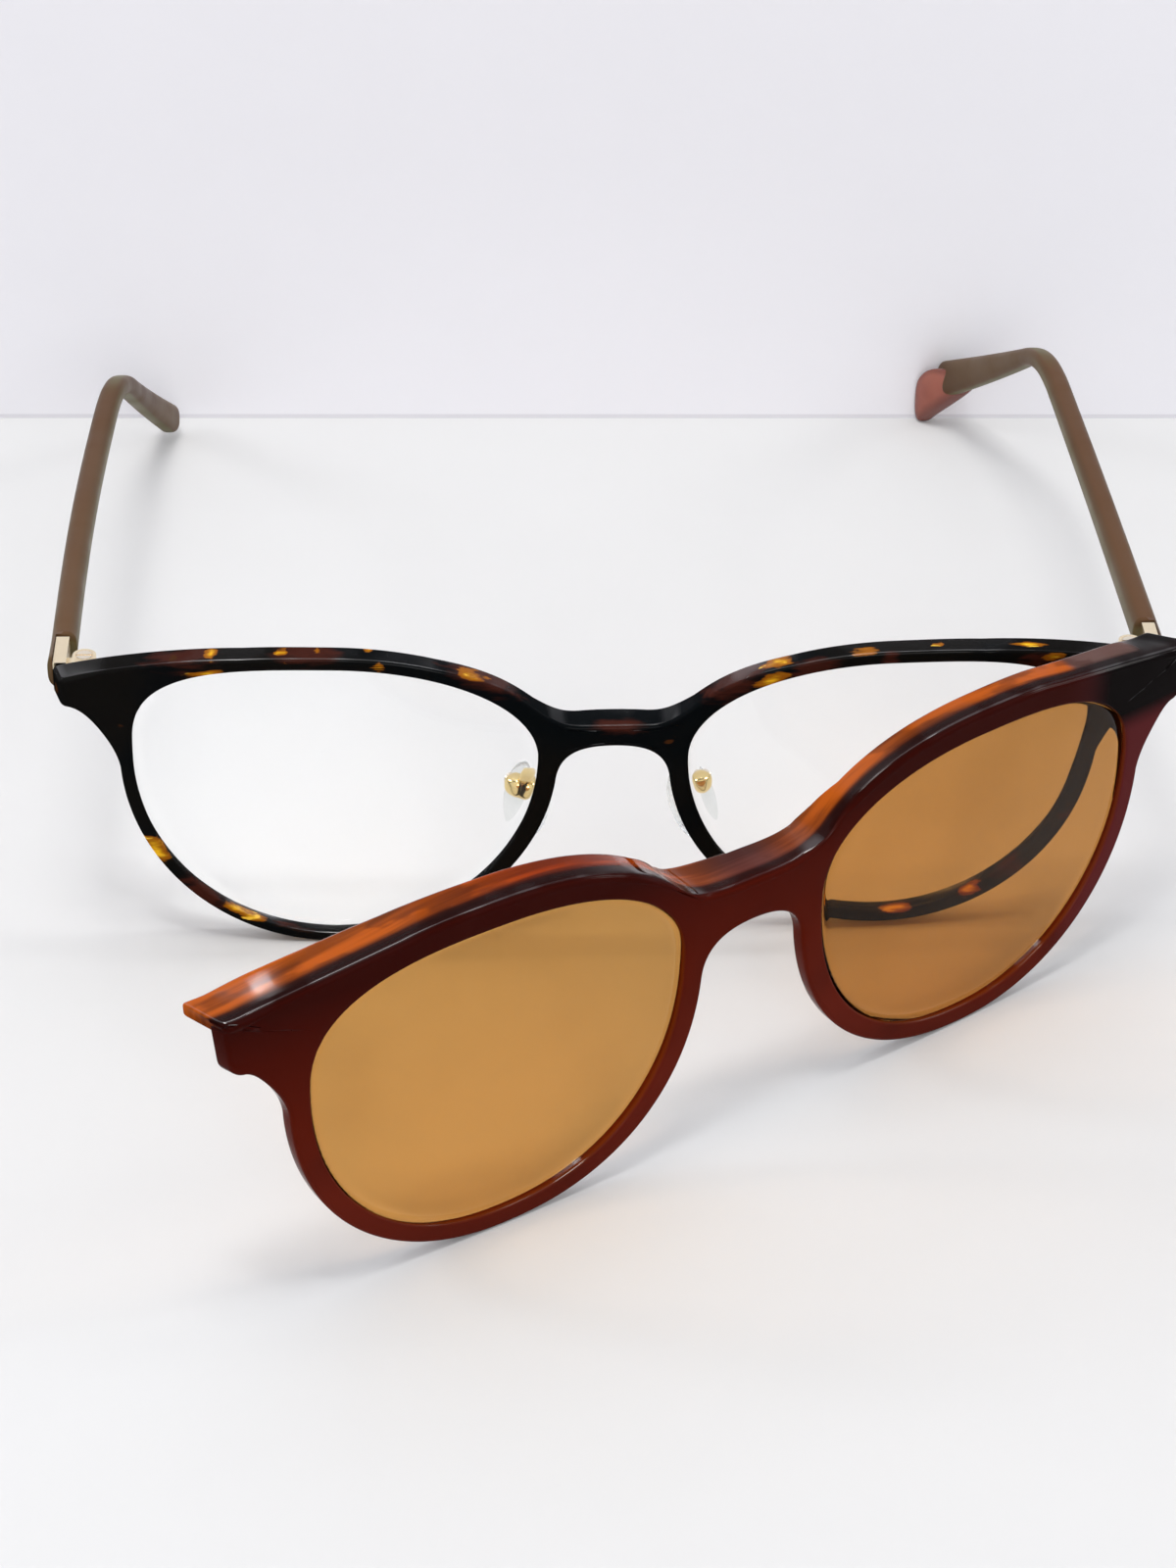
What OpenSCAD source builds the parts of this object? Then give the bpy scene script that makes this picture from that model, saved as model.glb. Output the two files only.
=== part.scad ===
// Eyeglasses with a magnetic clip-on pair of sun lenses, standing on a table.
// X runs across the glasses, the front faces -Y, the temples run to +Y and Z is up.
// Right and left are the wearer's: the right side is -X.
// The origin is the underside of the bridge, in the middle of the front face.
// The clip is drawn swung open on its left-hand magnets, as it lies against the frame.

/* [Eye openings] */
// Width of each opening in the frame
eye_w = 49.4; // [46:0.1:53]
// Height of each opening in the frame
eye_h = 38.6; // [36:0.1:43]
// Gap across the nose between the two openings
nose_gap = 18.4; // [16:0.1:22]
// Distance from an opening's nasal edge to its highest and lowest points
eye_peak = 25.2; // [22:0.1:28]
// Height of the widest line above the bottom of an opening
eye_mid = 25.8; // [23:0.1:29]

/* [Front] */
// Width of the rim under an opening
rim_w = 1.4; // [1.2:0.1:2.5]
// Width of the rim over an opening
brow_w = 1.7; // [1.4:0.1:3]
// Width of the rim at the temple side
cheek_w = 1.6; // [1.4:0.1:2.5]
// Width of the rim at the nose
nasal_w = 2.4; // [2.2:0.1:3]
// Depth of the front from face to back
front_depth = 2.9; // [2.8:0.1:4]
// How much thicker the front is at its end pieces than in the middle
end_thick = 0.7; // [0.4:0.1:1]
// Radius of the bow of the front, seen from above
bow_r = 930; // [600:10:1400]
// Height of the bridge bar
bridge_h = 3.1; // [2.5:0.1:5]
// How much deeper the bridge is than the rims
bridge_back = 0.8; // [0.4:0.1:1.4]
// Drop from the top of an opening to the top of the bridge
bridge_drop = 8.0; // [6:0.1:10]
// How far an end piece stands out past the opening beside it
end_out = 9.4; // [9.2:0.1:12]
// How far the side of an end piece slants in towards the front
end_slant = 1.1; // [0.6:0.1:1.5]
// Drop from the top of an opening to the top of an end piece
end_drop = 1.7; // [1.5:0.1:2.5]
// Height of an end piece at its side
end_h = 4.2; // [4.2:0.1:6]
// Radius of the upright front corner of an end piece
end_round = 0.8; // [0.6:0.1:1.2]

/* [Lenses] */
// Thickness of a lens
lens_t = 1.6; // [1.4:0.1:2]
// Depth from the front face to the middle of a lens
lens_depth = 1.55; // [1.4:0.05:1.7]
// Thickness of the ridge round a lens that sits in the groove
ridge_t = 0.8; // [0.6:0.1:1]
// Height of that ridge
ridge_h = 0.5; // [0.4:0.05:0.8]
// Clearance round a lens in its opening and groove
lens_gap = 0.08; // [0.05:0.01:0.15]

/* [Clip-on] */
// Thickness of the clip's face plate
clip_t = 2.2; // [1.8:0.1:3]
// Gap between the clip's plate and the front when it is clipped on
clip_gap = 0.35; // [0.25:0.05:0.6]
// Width of the clip's rim at the temple side
clip_side_w = 2.5; // [2.2:0.1:3.4]
// Width of the clip's rim at the nose
clip_nose_w = 2.9; // [2.6:0.1:3.4]
// Width of the clip's rim over an opening
clip_top_w = 3.4; // [3:0.1:4.2]
// Width of the clip's rim under an opening
clip_low_w = 2.3; // [2:0.1:3]
// How much higher the clip's openings reach than the frame's
clip_brow_up = 0.9; // [0:0.1:1.2]
// How much narrower the clip's openings are at the nose
clip_nose_in = 0.8; // [0:0.1:1]
// Height of the clip's bridge
clip_bridge_h = 5.7; // [5:0.1:7]
// How far the clip's bridge hangs below the underside of the frame's when it is clipped on
clip_bridge_low = 0.5; // [0.2:0.1:2]
// How far the clip's plate stands out past the frame's ends
clip_over_x = 1.2; // [0.8:0.1:1.6]
// How far the brow ledge stands out past the plate at the clip's ends
ledge_over = 1.2; // [0.8:0.1:1.6]
// How far back the ledge reaches over the frame
ledge_reach = 1.5; // [1.2:0.1:2]
// How much further it reaches at the bridge
ledge_back = 2.2; // [1.4:0.1:2.4]
// Half of the width over which it reaches further there
ledge_half = 15; // [12:0.5:16]
// How much further it reaches at the end pieces
ledge_flare = 1.2; // [0.8:0.1:1.5]
// Clearance of the clip's brow ledge above the front
ledge_gap = 0.35; // [0.25:0.05:0.5]
// Sideways play of the ledge at the shoulders of the bridge
ledge_play = 0.45; // [0.3:0.05:0.6]
// Thickness of a clip lens
clip_lens_t = 1.1; // [0.9:0.1:1.4]
// Angle by which the clip stands open
clip_open = 32.5; // [0:0.1:40]
// Distance of the clip's turning line inside the side of the frame
swing_in = 1.9; // [1.6:0.1:2.1]
// Distance of that line behind the face of the frame's end
swing_back = 1.6; // [1.5:0.1:2.2]

/* [Magnets] */
// Width and height of the square magnets
magnet_w = 3.0; // [2.4:0.1:3.2]
// Thickness of a magnet in the frame
magnet_t = 1.3; // [1:0.1:1.5]
// Thickness of a magnet in the clip
clip_magnet_t = 1.2; // [0.8:0.1:1.4]
// Distance of the magnets from the side of an end piece
magnet_in = 7.3; // [7.2:0.1:7.6]
// Glue gap round a magnet
magnet_gap = 0.06; // [0.03:0.01:0.1]

/* [Hinges] */
// Distance of a hinge pin inside the side of its end piece
pin_in = 3.8; // [3.6:0.1:4]
// Distance of a hinge pin behind the back of the front
pin_back = 2.1; // [2:0.1:2.5]
// Radius of the hinge knuckles
knuckle_r = 1.45; // [1.3:0.05:1.5]
// Height of the hinge over its ears
hinge_h = 4.0; // [3.6:0.1:4.2]
// Height of the temple's knuckle between the ears
tongue_h = 1.5; // [1.2:0.1:1.8]
// Radius of the hinge screw
pin_r = 0.6; // [0.5:0.05:0.7]
// Radial and end clearance of the temple's knuckle
pin_gap = 0.05; // [0.02:0.01:0.08]
// Thickness of the hinge plate on the front
plate_t = 0.9; // [0.7:0.1:1.1]
// Radius of the two rivets in a hinge plate
rivet_r = 0.45; // [0.35:0.05:0.5]
// Length and height of the plate's tail, which the rivets hold
tail_len = 4.2; // [4:0.1:4.4]
tail_h = 3.3; // [3.1:0.1:3.5]

/* [Temples] */
// Width of the metal block at the front of a temple
block_w = 1.6; // [1.4:0.1:1.8]
// Length of that block outside the sleeve
block_len = 6.1; // [5:0.1:8]
// Width of a temple over its sleeve
temple_w = 3.2; // [2.7:0.1:3.6]
// Height of a temple at the front
temple_h = 4.2; // [4:0.1:5.2]
// Height of a temple at its bend
bend_h = 2.9; // [2.7:0.1:3.6]
// Height of a temple near its tip
tip_h = 4.4; // [4:0.1:6]
// Wall of the soft sleeve over the temple
sleeve_wall = 0.5; // [0.4:0.05:0.6]
// Gap between a sleeve and what it covers
sleeve_gap = 0.05; // [0.03:0.01:0.1]
// Distance from the front of a temple sleeve to its bend
bend_y = 90; // [82:0.5:96]
// Distance from the bend to the tip along Y
drop_y = 34.5; // [30:0.5:38]
// Slope of the straight stretch of the right temple in degrees
slope_right = 5.1; // [3.5:0.1:6]
// Slope of the straight stretch of the left temple in degrees
slope_left = 2.8; // [1.5:0.1:4]
// Height of the tip of the left sleeve above the right one's
left_tip_up = 8.2; // [6:0.1:9]
// Angle by which the right temple leans in
lean_right = 1.0; // [0:0.1:2]
// Angle by which the left temple leans out
lean_left = 1.1; // [0:0.1:1.5]
// Radius of the bend
bend_r = 14; // [11:0.5:18]
// How far the right tip curves in towards the head
tip_in_right = 5.1; // [4:0.1:8]
// How far the left tip curves in towards the head
tip_in_left = 8.0; // [6:0.1:9]
// Radius of the rounded tip
tip_round = 1.9; // [1.4:0.1:2]
// Thickness of the bare paddle at the left tip
paddle_w = 2.6; // [2:0.1:2.8]
// Length of the paddle past the left sleeve
paddle_len = 3.3; // [2.8:0.1:4]
// How much further in the paddle lies than the sleeve
paddle_in = 1.3; // [0.8:0.1:1.5]

/* [Nose pads] */
// Length of a nose pad
pad_len = 12.8; // [12:0.1:15]
// Width of a nose pad
pad_w = 7.4; // [6:0.1:8]
// Thickness of a nose pad
pad_t = 2.0; // [1.6:0.1:2.4]
// Distance of a pad's screw from the middle plane
pad_x = 11.2; // [10.5:0.1:12]
// Distance of a pad's screw behind the front face
pad_y = 8.0; // [7.5:0.1:9]
// Drop from the underside of the bridge to a pad's screw
pad_drop = 10.1; // [9:0.1:12]
// Angle between a pad and the fore and aft direction
pad_splay = 42; // [32:1:48]
// Angle by which a pad's foot leans back
pad_lean = 15; // [8:1:20]
// Angle by which a pad's foot stands out from the nose
pad_flare = 9; // [4:1:14]
// Distance of the pad's middle below its screw
pad_below = 2.2; // [1:0.1:3]
// Thickness of the wire of a pad arm
arm_d = 1.0; // [0.8:0.1:1.2]
// Radius of a pad screw
pad_screw_r = 0.45; // [0.4:0.05:0.5]

/* [Hidden] */

$fn = 48;
// Slabs that outlines and plans are cut from: larger than the front every way
slab_depth = 14 * front_depth;
slab_h = 1.6 * eye_h;
slab_below = 5;
bow_fn = 720;
oval_step = 7.5;
curve_steps = 7;

right = -1;
left = 1;

// Opening of the frame: its middle, its radii and how its quarters bulge.
// Radii and rim widths are listed as temporal, nasal, up, down; bulges go round from the upper temporal.
eye_c = [nose_gap / 2 + eye_peak, rim_w + eye_mid];
eye_r = [eye_w - eye_peak, eye_peak, eye_h - eye_mid, eye_mid];
eye_bulge = [3.3, 2.05, 1.95, 2.02];
eye_rims = [cheek_w, nasal_w, brow_w, rim_w];
eye_top = eye_c[1] + eye_r[2];
end_x = nose_gap / 2 + eye_w + end_out;

bridge_top = eye_top - bridge_drop;
bridge_under = bridge_top - bridge_h;
bridge_half = nose_gap / 2;
end_top = eye_top - end_drop;
end_low = end_top - end_h;
end_y = bow(end_x);
end_back = end_y + end_thick + front_depth;
// Back faces bow more than the front face, as the end pieces are thicker and the ledge is deeper there
back_r = bow_through(end_y + end_thick);
ledge_r = bow_through(end_y + ledge_flare);

// The clip stands a little higher than it sits when it is clipped on, as its rims are wider below.
clip_rise = clip_low_w - rim_w;
clip_c = [eye_c[0], clip_low_w + eye_mid];
clip_r = eye_r + [0, -clip_nose_in, clip_brow_up, 0];
clip_rims = [clip_side_w, clip_nose_w, clip_top_w, clip_low_w];
clip_bulge = [2.7, 2.2, 2.27, 2.1];
clip_under = bridge_under - clip_bridge_low + clip_rise;
clip_bridge_top = clip_under + clip_bridge_h;
clip_end_x = end_x + clip_over_x;
clip_end_top = end_top + clip_rise + 1.9;
clip_end_low = end_low + clip_rise + 0.1;
clip_middle = -clip_gap - clip_t / 2;

magnet_x = end_x - magnet_in;
magnet_z = end_top - 0.8;
magnet_face = 0.5;

// Hinge: the pin's place, the heights of its ears and the seat of its plate
seat_gap = 0.04;
plate_lap = 0.5;
seat_y = end_back - plate_lap;
pin_x = end_x - pin_in;
pin_y = end_back + pin_back;
hinge_z = end_low + 0.1;
hinge_top = hinge_z + hinge_h;
ear_h = (hinge_h - tongue_h - 2 * pin_gap) / 2;
screw_head_r = 1.0;
screw_head_h = 0.5;
rivet_x = pin_x - tail_len + 0.95;
rivet_z = [-1.15, 0.65];
rivet_len = 1.1;
tail_low = hinge_z - 1.9;

swing_x = end_x - swing_in;
swing_y = end_y + swing_back;

block_x = end_x - 0.9;
block_y = end_back + 0.3;
sleeve_y = block_y + block_len;
temple_z = hinge_z + hinge_h / 2;
tang_len = 9;
tang_w = 0.8;
tang_h = 1.6;
root_gap = 0.2;
tip_z = tip_h * 0.41;

box_w = 2.7;
box_h = 2.4;
cheek_t = 0.6;
lug_gap = 0.06;
lug_w = box_w - 2 * cheek_t - 2 * lug_gap;
lug_h = 1.6;
insert_t = 0.6;
insert_w = 3.6;
insert_h = 5.0;
pad_back = 1.6;
pad_z = bridge_under - pad_drop;

// Radius of a bowed face that lies d behind its middle at the end pieces
function bow_through(d) = (end_x * end_x + d * d) / (2 * d);

// How far the bowed face lies behind the plane y = 0 at a distance x from the middle
function bow(x) = bow_r - sqrt(bow_r * bow_r - x * x);

function power(v, e) = sign(v) * pow(abs(v), e);

// Point of an oval whose quarters bulge differently, at angle t from its temporal end
function oval(t, c, r, n) =
    let (
        q = floor((t % 360) / 90),
        rx = cos(t) >= 0 ? r[0] : r[1],
        rz = sin(t) >= 0 ? r[2] : r[3]
    )
    [c[0] + rx * power(cos(t), 2 / n[q]), c[1] + rz * power(sin(t), 2 / n[q])];

function oval_loop(c, r, n) = [for (t = [0 : oval_step : 360 - oval_step]) oval(t, c, r, n)];

// Cubic curve through the end points p and s, pulled towards q and r
function curve(p, q, r, s) = [
    for (i = [0 : curve_steps])
        let (t = i / curve_steps, u = 1 - t)
        u * u * u * p + 3 * u * u * t * q + 3 * u * t * t * r + t * t * t * s
];

function reversed(list) = [for (i = [len(list) - 1 : -1 : 0]) list[i]];

function eye_edge(t) = oval(t, eye_c, eye_r + eye_rims, eye_bulge);
function clip_edge(t) = oval(t, clip_c, clip_r + clip_rims, clip_bulge);

// Top edge of the front from the middle of the bridge to the side
function front_top() =
    let (shoulder = eye_edge(117), brow = eye_edge(77))
    concat(
        [[0, bridge_top]],
        curve([4.2, bridge_top], [9.6, bridge_top], shoulder - [12.2, 2.56], shoulder),
        [for (t = [112.5 : -oval_step : 82.5]) eye_edge(t)],
        curve(brow, brow + [6.5, -0.1], [end_x - 8, end_top + 2], [end_x - 1, end_top])
    );

// Top edge of the clip from the middle of its bridge to the side
function clip_top() =
    let (shoulder = clip_edge(146), brow = clip_edge(70))
    concat(
        [[0, clip_bridge_top]],
        curve([2, clip_bridge_top], [6, clip_bridge_top], shoulder - [2.6, 2.9], shoulder),
        [for (t = [142.5 : -oval_step : 75]) clip_edge(t)],
        curve(brow, brow + [5.5, -0.75], [end_x - 4.5, clip_end_top + 1.2], [clip_end_x, clip_end_top])
    );

// Left half of a front's outline: its top edge, its side, the sweep up from the cheek, the lower rim
// and the nose arch
function half_loop(top, side, low, cheek, rim, nose, arch_top) = concat(
    top,
    [[end_x + 9, top[len(top) - 1][1] - 0.1], [end_x + 9, low]],
    curve([side, low], [side - 2.8, low - 0.5], cheek + [0.7, 4.2], cheek),
    rim,
    reversed(curve([0, arch_top], [5, arch_top], nose + [-0.3, 3.5], nose))
);

// Whole outline from its left half, which begins and ends on the middle line
module whole_outline(half) {
    polygon(concat(half, [for (i = [len(half) - 2 : -1 : 1]) [-half[i][0], half[i][1]]]));
}

module datum() {
    translate([0, 0, -bridge_under]) children();
}

// Stands a flat outline up, facing -Y, and runs it through the whole depth
module upright() {
    translate([0, slab_depth / 2, 0]) rotate([90, 0, 0]) linear_extrude(height = slab_depth) children();
}

// Runs a plan seen from above through the whole height
module tall() {
    translate([0, 0, -slab_below]) linear_extrude(height = slab_h) children();
}

module on_side(side) {
    if (side == left) {
        children();
    } else {
        mirror([1, 0, 0]) children();
    }
}

module both_sides() {
    on_side(left) children();
    on_side(right) children();
}

// Band between two bowed faces, given by how far they lie behind the front face
module band(near, far) {
    translate([0, bow_r]) difference() {
        circle(r = bow_r - near, $fn = bow_fn);
        circle(r = bow_r - far, $fn = bow_fn);
    }
}

// Swelling of a back face behind the bridge: it rises by swell from the depth y
module bridge_swell(y, swell, half) {
    r = (half * half + swell * swell) / (2 * swell);
    intersection() {
        translate([0, y + swell - r]) circle(r = r, $fn = bow_fn);
        translate([-half, y - 1]) square([2 * half, swell + 2]);
    }
}

// Plan that ends at a slanted side with a rounded front corner, symmetric about x = 0
module plan_end(x, y, r, slant) {
    corner = [for (a = [-85 : 14 : -15]) [x - slant - r + r * cos(a), y + r + r * sin(a)]];
    deep = front_depth + end_thick;
    half = concat([[corner[0][0], -15]], corner, [[x, y + deep], [x + slant, y + 2 * deep]]);
    back = [[x + slant, 18]];
    polygon(concat(half, back, reversed([for (p = concat(half, back)) [-p[0], p[1]]])));
}

module front_outline() {
    whole_outline(half_loop(front_top(), end_x - 0.8, end_low, eye_edge(357),
        [for (t = [352.5 : -oval_step : 192.5]) eye_edge(t)], eye_edge(188), bridge_under));
}

module clip_outline() {
    whole_outline(half_loop(clip_top(), clip_end_x - 1.5, clip_end_low, clip_edge(357),
        [for (t = [352.5 : -oval_step : 192.5]) clip_edge(t)], clip_edge(187), clip_under));
}

// Everything above the front's top edge, with the clearances of the ledge
module above_front() {
    edge = front_top();
    last = edge[len(edge) - 1];
    lift = clip_rise + ledge_gap;
    both_sides() {
        intersection_for (shift = [0, -ledge_play]) {
            polygon(concat(
                [[-8, eye_top + 20], [-8, edge[0][1] + lift]],
                [for (p = edge) p + [p[0] > 1 ? shift : 0, lift]],
                [[clip_end_x + 8, last[1] + lift], [clip_end_x + 8, eye_top + 20]]
            ));
        }
    }
}

module magnet_block(y, t, z, grow, back) {
    translate([magnet_x - magnet_w / 2 - grow, y - grow, z - magnet_w / 2 - grow])
        cube([magnet_w + 2 * grow, t + 2 * grow + back, magnet_w + 2 * grow]);
}

// Ridge round a lens; grow widens it into the groove that it needs
module lens_ridge(c, r, n, middle, grow) {
    intersection() {
        upright() polygon(oval_loop(c, r + (ridge_h + grow) * [1, 1, 1, 1], n));
        tall() band(middle - ridge_t / 2 - grow, middle + ridge_t / 2 + grow);
    }
}

module lens_disc(c, r, n, middle, thick) {
    intersection() {
        upright() polygon(oval_loop(c, r - lens_gap * [1, 1, 1, 1], n));
        tall() band(middle - thick / 2, middle + thick / 2);
    }
    lens_ridge(c, r, n, middle, 0);
}

module hinge_plate_body(grow) {
    translate([pin_x - knuckle_r - grow, seat_y, hinge_z - grow])
        cube([2 * knuckle_r + 2 * grow, plate_t, hinge_h + 2 * grow]);
    translate([pin_x - tail_len - grow, seat_y, tail_low - grow])
        cube([tail_len + knuckle_r + 2 * grow, plate_t, tail_h + 2 * grow]);
}

module rivet_shanks(r) {
    for (z = rivet_z)
        translate([rivet_x, seat_y - rivet_len, hinge_z + z]) rotate([-90, 0, 0])
            cylinder(r = r, h = rivet_len + plate_t + 0.2);
}

module front() {
    color("#1d1410")
    datum() difference() {
        intersection() {
            upright() front_outline();
            tall() intersection() {
                union() {
                    difference() {
                        translate([0, bow_r]) circle(r = bow_r, $fn = bow_fn);
                        translate([0, front_depth + back_r]) circle(r = back_r, $fn = bow_fn);
                    }
                    bridge_swell(front_depth, bridge_back, bridge_half);
                }
                plan_end(end_x, end_y, end_round, end_slant);
            }
        }
        both_sides() {
            upright() polygon(oval_loop(eye_c, eye_r, eye_bulge));
            lens_ridge(eye_c, eye_r, eye_bulge, lens_depth, lens_gap);
            magnet_block(bow(magnet_x) + magnet_face, magnet_t, magnet_z, magnet_gap, front_depth);
            translate([0, -seat_gap, 0]) hinge_plate_body(seat_gap);
            translate([0, plate_t - 2 * seat_gap, 0]) hinge_plate_body(seat_gap);
            rivet_shanks(rivet_r + seat_gap);
            arm_foot(arm_d / 2 + seat_gap);
        }
    }
}

module lens(side) {
    color([0.86, 0.9, 0.92, 0.35])
    datum() on_side(side) lens_disc(eye_c, eye_r, eye_bulge, lens_depth, lens_t);
}

module front_magnet(side) {
    color("silver")
    datum() on_side(side) magnet_block(bow(magnet_x) + magnet_face, magnet_t, magnet_z, 0, 0);
}

// Plate let into the back of an end piece, with a riveted tail and two ears that carry the hinge screw
module hinge_plate(side) {
    color("#e0c08c")
    datum() on_side(side) difference() {
        union() {
            hinge_plate_body(0);
            for (z = [hinge_z, hinge_top - ear_h]) {
                translate([pin_x, pin_y, z]) cylinder(r = knuckle_r, h = ear_h);
                translate([pin_x - knuckle_r, seat_y, z]) cube([2 * knuckle_r, pin_y - seat_y, ear_h]);
            }
        }
        translate([pin_x, pin_y, hinge_z - 1]) cylinder(r = pin_r, h = hinge_h + 2);
        translate([pin_x, pin_y, hinge_top - screw_head_h]) cylinder(r = screw_head_r, h = 2);
        rivet_shanks(rivet_r);
    }
}

module hinge_rivets(side) {
    color("#c9a468")
    datum() on_side(side) {
        rivet_shanks(rivet_r - 0.01);
        for (z = rivet_z)
            translate([rivet_x, seat_y + plate_t + 0.02, hinge_z + z]) rotate([-90, 0, 0])
                cylinder(r = rivet_r + 0.2, h = 0.25);
    }
}

module hinge_screw(side) {
    color("#c9a468")
    datum() on_side(side) translate([pin_x, pin_y, 0]) difference() {
        union() {
            translate([0, 0, hinge_z]) cylinder(r = pin_r - 0.01, h = hinge_h - 0.1);
            translate([0, 0, hinge_top - screw_head_h + 0.02])
                cylinder(r = screw_head_r - 0.03, h = screw_head_h);
        }
        translate([-screw_head_r, -0.12, hinge_top - 0.2]) cube([2 * screw_head_r, 0.24, 1]);
    }
}

// Frame of a nose pad: x runs along its screw, y towards the nose, z up
module at_pad() {
    translate([pad_x, pad_y, pad_z]) rotate([0, 0, 90 - pad_splay]) children();
}

// Wire between two points
module wire(a, b, r) {
    d = b - a;
    long = norm(d);
    translate(a) rotate([0, acos(d[2] / long), atan2(d[1], d[0])]) cylinder(r = r, h = long, $fn = 24);
}

// Where a pad arm leaves the back of the nasal rim
arm_root = [eye_edge(186)[0] + 0.9, front_depth, bridge_under - 5.4];

module arm_foot(r) {
    translate(arm_root - [0, 1.6, 0]) rotate([-90, 0, 0]) cylinder(r = r, h = 2.6, $fn = 24);
}

module pad_arm(side) {
    heel = arm_root + [0, 1, 0];
    knee = arm_root + [0.6, 2.6, 0.9];
    turn = [pad_x + 0.75, pad_y - 1.4, pad_z + 3.4];
    end = [pad_x + 1.05, pad_y - 1.15, pad_z + 0.4];
    color("#e2c78e")
    datum() on_side(side) difference() {
        union() {
            arm_foot(arm_d / 2);
            wire(heel, knee, arm_d / 2);
            wire(knee, turn, arm_d / 2);
            wire(turn, end, arm_d / 2);
            for (p = [heel, knee, turn]) translate(p) sphere(r = arm_d / 2 + 0.03, $fn = 24);
            at_pad() {
                translate([-box_w / 2, -1.9, -box_h / 2]) cube([box_w, 0.75, box_h]);
                for (x = [-box_w / 2, box_w / 2 - cheek_t])
                    translate([x, -1.3, -box_h / 2]) cube([cheek_t, 2.2, box_h]);
            }
        }
        at_pad() {
            rotate([0, 90, 0]) cylinder(r = pad_screw_r, h = 8, center = true);
            translate([-lug_w / 2 - lug_gap, -1.15, -box_h / 2 - 0.5])
                cube([lug_w + 2 * lug_gap, 4, box_h + 1]);
        }
    }
}

module pad_screw(side) {
    color("#c9a468")
    datum() on_side(side) at_pad() rotate([0, 90, 0]) {
        cylinder(r = pad_screw_r - 0.01, h = box_w, center = true);
        translate([0, 0, box_w / 2]) cylinder(r = 0.85, h = 0.45);
    }
}

module leaning() {
    rotate([-pad_flare, -pad_lean, 0]) children();
}

module pad_insert(side) {
    color("#e2c78e")
    datum() on_side(side) at_pad() difference() {
        union() {
            translate([-lug_w / 2, -0.8, -lug_h / 2]) cube([lug_w, pad_back + 0.9, lug_h]);
            leaning() translate([-insert_w / 2, pad_back, -insert_h / 2 - 0.6])
                cube([insert_w, insert_t, insert_h]);
        }
        rotate([0, 90, 0]) cylinder(r = pad_screw_r + 0.04, h = 8, center = true);
    }
}

module nose_pad(side) {
    color([0.93, 0.95, 0.95, 0.5])
    datum() on_side(side) at_pad() difference() {
        leaning() translate([0, pad_back + 0.05 + pad_t, 0]) rotate([90, 0, 0])
            linear_extrude(height = pad_t)
                polygon(oval_loop([0, -pad_below], [pad_w / 2, pad_w / 2, pad_len * 0.48, pad_len * 0.52],
                    [2.4, 2.2, 2.1, 2.3]));
        leaning() translate([-insert_w / 2 - 0.05, pad_back - 0.5, -insert_h / 2 - 0.65])
            cube([insert_w + 0.1, insert_t + 0.55, insert_h + 0.1]);
        translate([-lug_w / 2 - 0.05, -0.8, -lug_h / 2 - 0.05])
            cube([lug_w + 0.1, pad_back + 1.2, lug_h + 0.1]);
    }
}

function slope(side) = side == left ? slope_left : slope_right;
function tip_in(side) = side == left ? tip_in_left : tip_in_right;
function tip_up(side) = side == left ? left_tip_up : 0;

// A temple leans in or out a little about its hinge pin
module leant(side) {
    on_side(side) translate([pin_x, pin_y, 0]) rotate([0, 0, side == left ? -lean_left : lean_right])
        translate([-pin_x, -pin_y, 0]) children();
}

// Flat tang that runs from the block into the core
module tang(side, grow) {
    translate([block_x, sleeve_y, temple_z]) rotate([-slope(side), 0, 0])
        translate([-tang_w / 2 - grow, -0.3, -tang_h / 2 - grow])
            cube([tang_w + 2 * grow, tang_len + 0.3 + grow, tang_h + 2 * grow]);
}

// Metal block with the knuckle of a temple, and the tang that anchors it in the core
module temple_block(side) {
    tongue_z = hinge_z + ear_h + pin_gap;
    color("#e0c08c")
    datum() leant(side) difference() {
        union() {
            translate([block_x - block_w / 2, block_y, hinge_z])
                cube([block_w, block_len, hinge_h]);
            translate([pin_x, pin_y, tongue_z]) cylinder(r = knuckle_r, h = tongue_h);
            translate([pin_x, pin_y, tongue_z]) cube([block_x - pin_x, knuckle_r, tongue_h]);
            tang(side, 0);
        }
        translate([pin_x, pin_y, hinge_z - 1]) cylinder(r = pin_r + pin_gap, h = hinge_h + 2);
    }
}

function bend_corner(side) = [sleeve_y + bend_y, temple_z - bend_y * tan(slope(side))];
function tip_end(side) = bend_corner(side) + [drop_y, tip_z + tip_up(side) - bend_corner(side)[1]];

// Middle line of a temple seen from the side: y, z, downward angle and height at each station
function temple_line(side, inset, short) =
    let (
        corner = bend_corner(side),
        tip = tip_end(side),
        lean = slope(side),
        steep = atan2(corner[1] - tip[1], tip[0] - corner[0]),
        turn = steep - lean,
        a = corner - bend_r * tan(turn / 2) * [cos(lean), -sin(lean)],
        o = a - bend_r * [sin(lean), cos(lean)],
        far = norm(tip - corner) - short
    )
    concat(
        [[sleeve_y + inset, temple_z - inset * tan(lean), lean, temple_h]],
        [for (i = [0 : 6])
            let (s = lean + turn * i / 6)
            [o[0] + bend_r * sin(s), o[1] + bend_r * cos(s), s, bend_h]],
        [[corner[0] + far * cos(steep), corner[1] - far * sin(steep), steep, tip_h]]
    );

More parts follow.
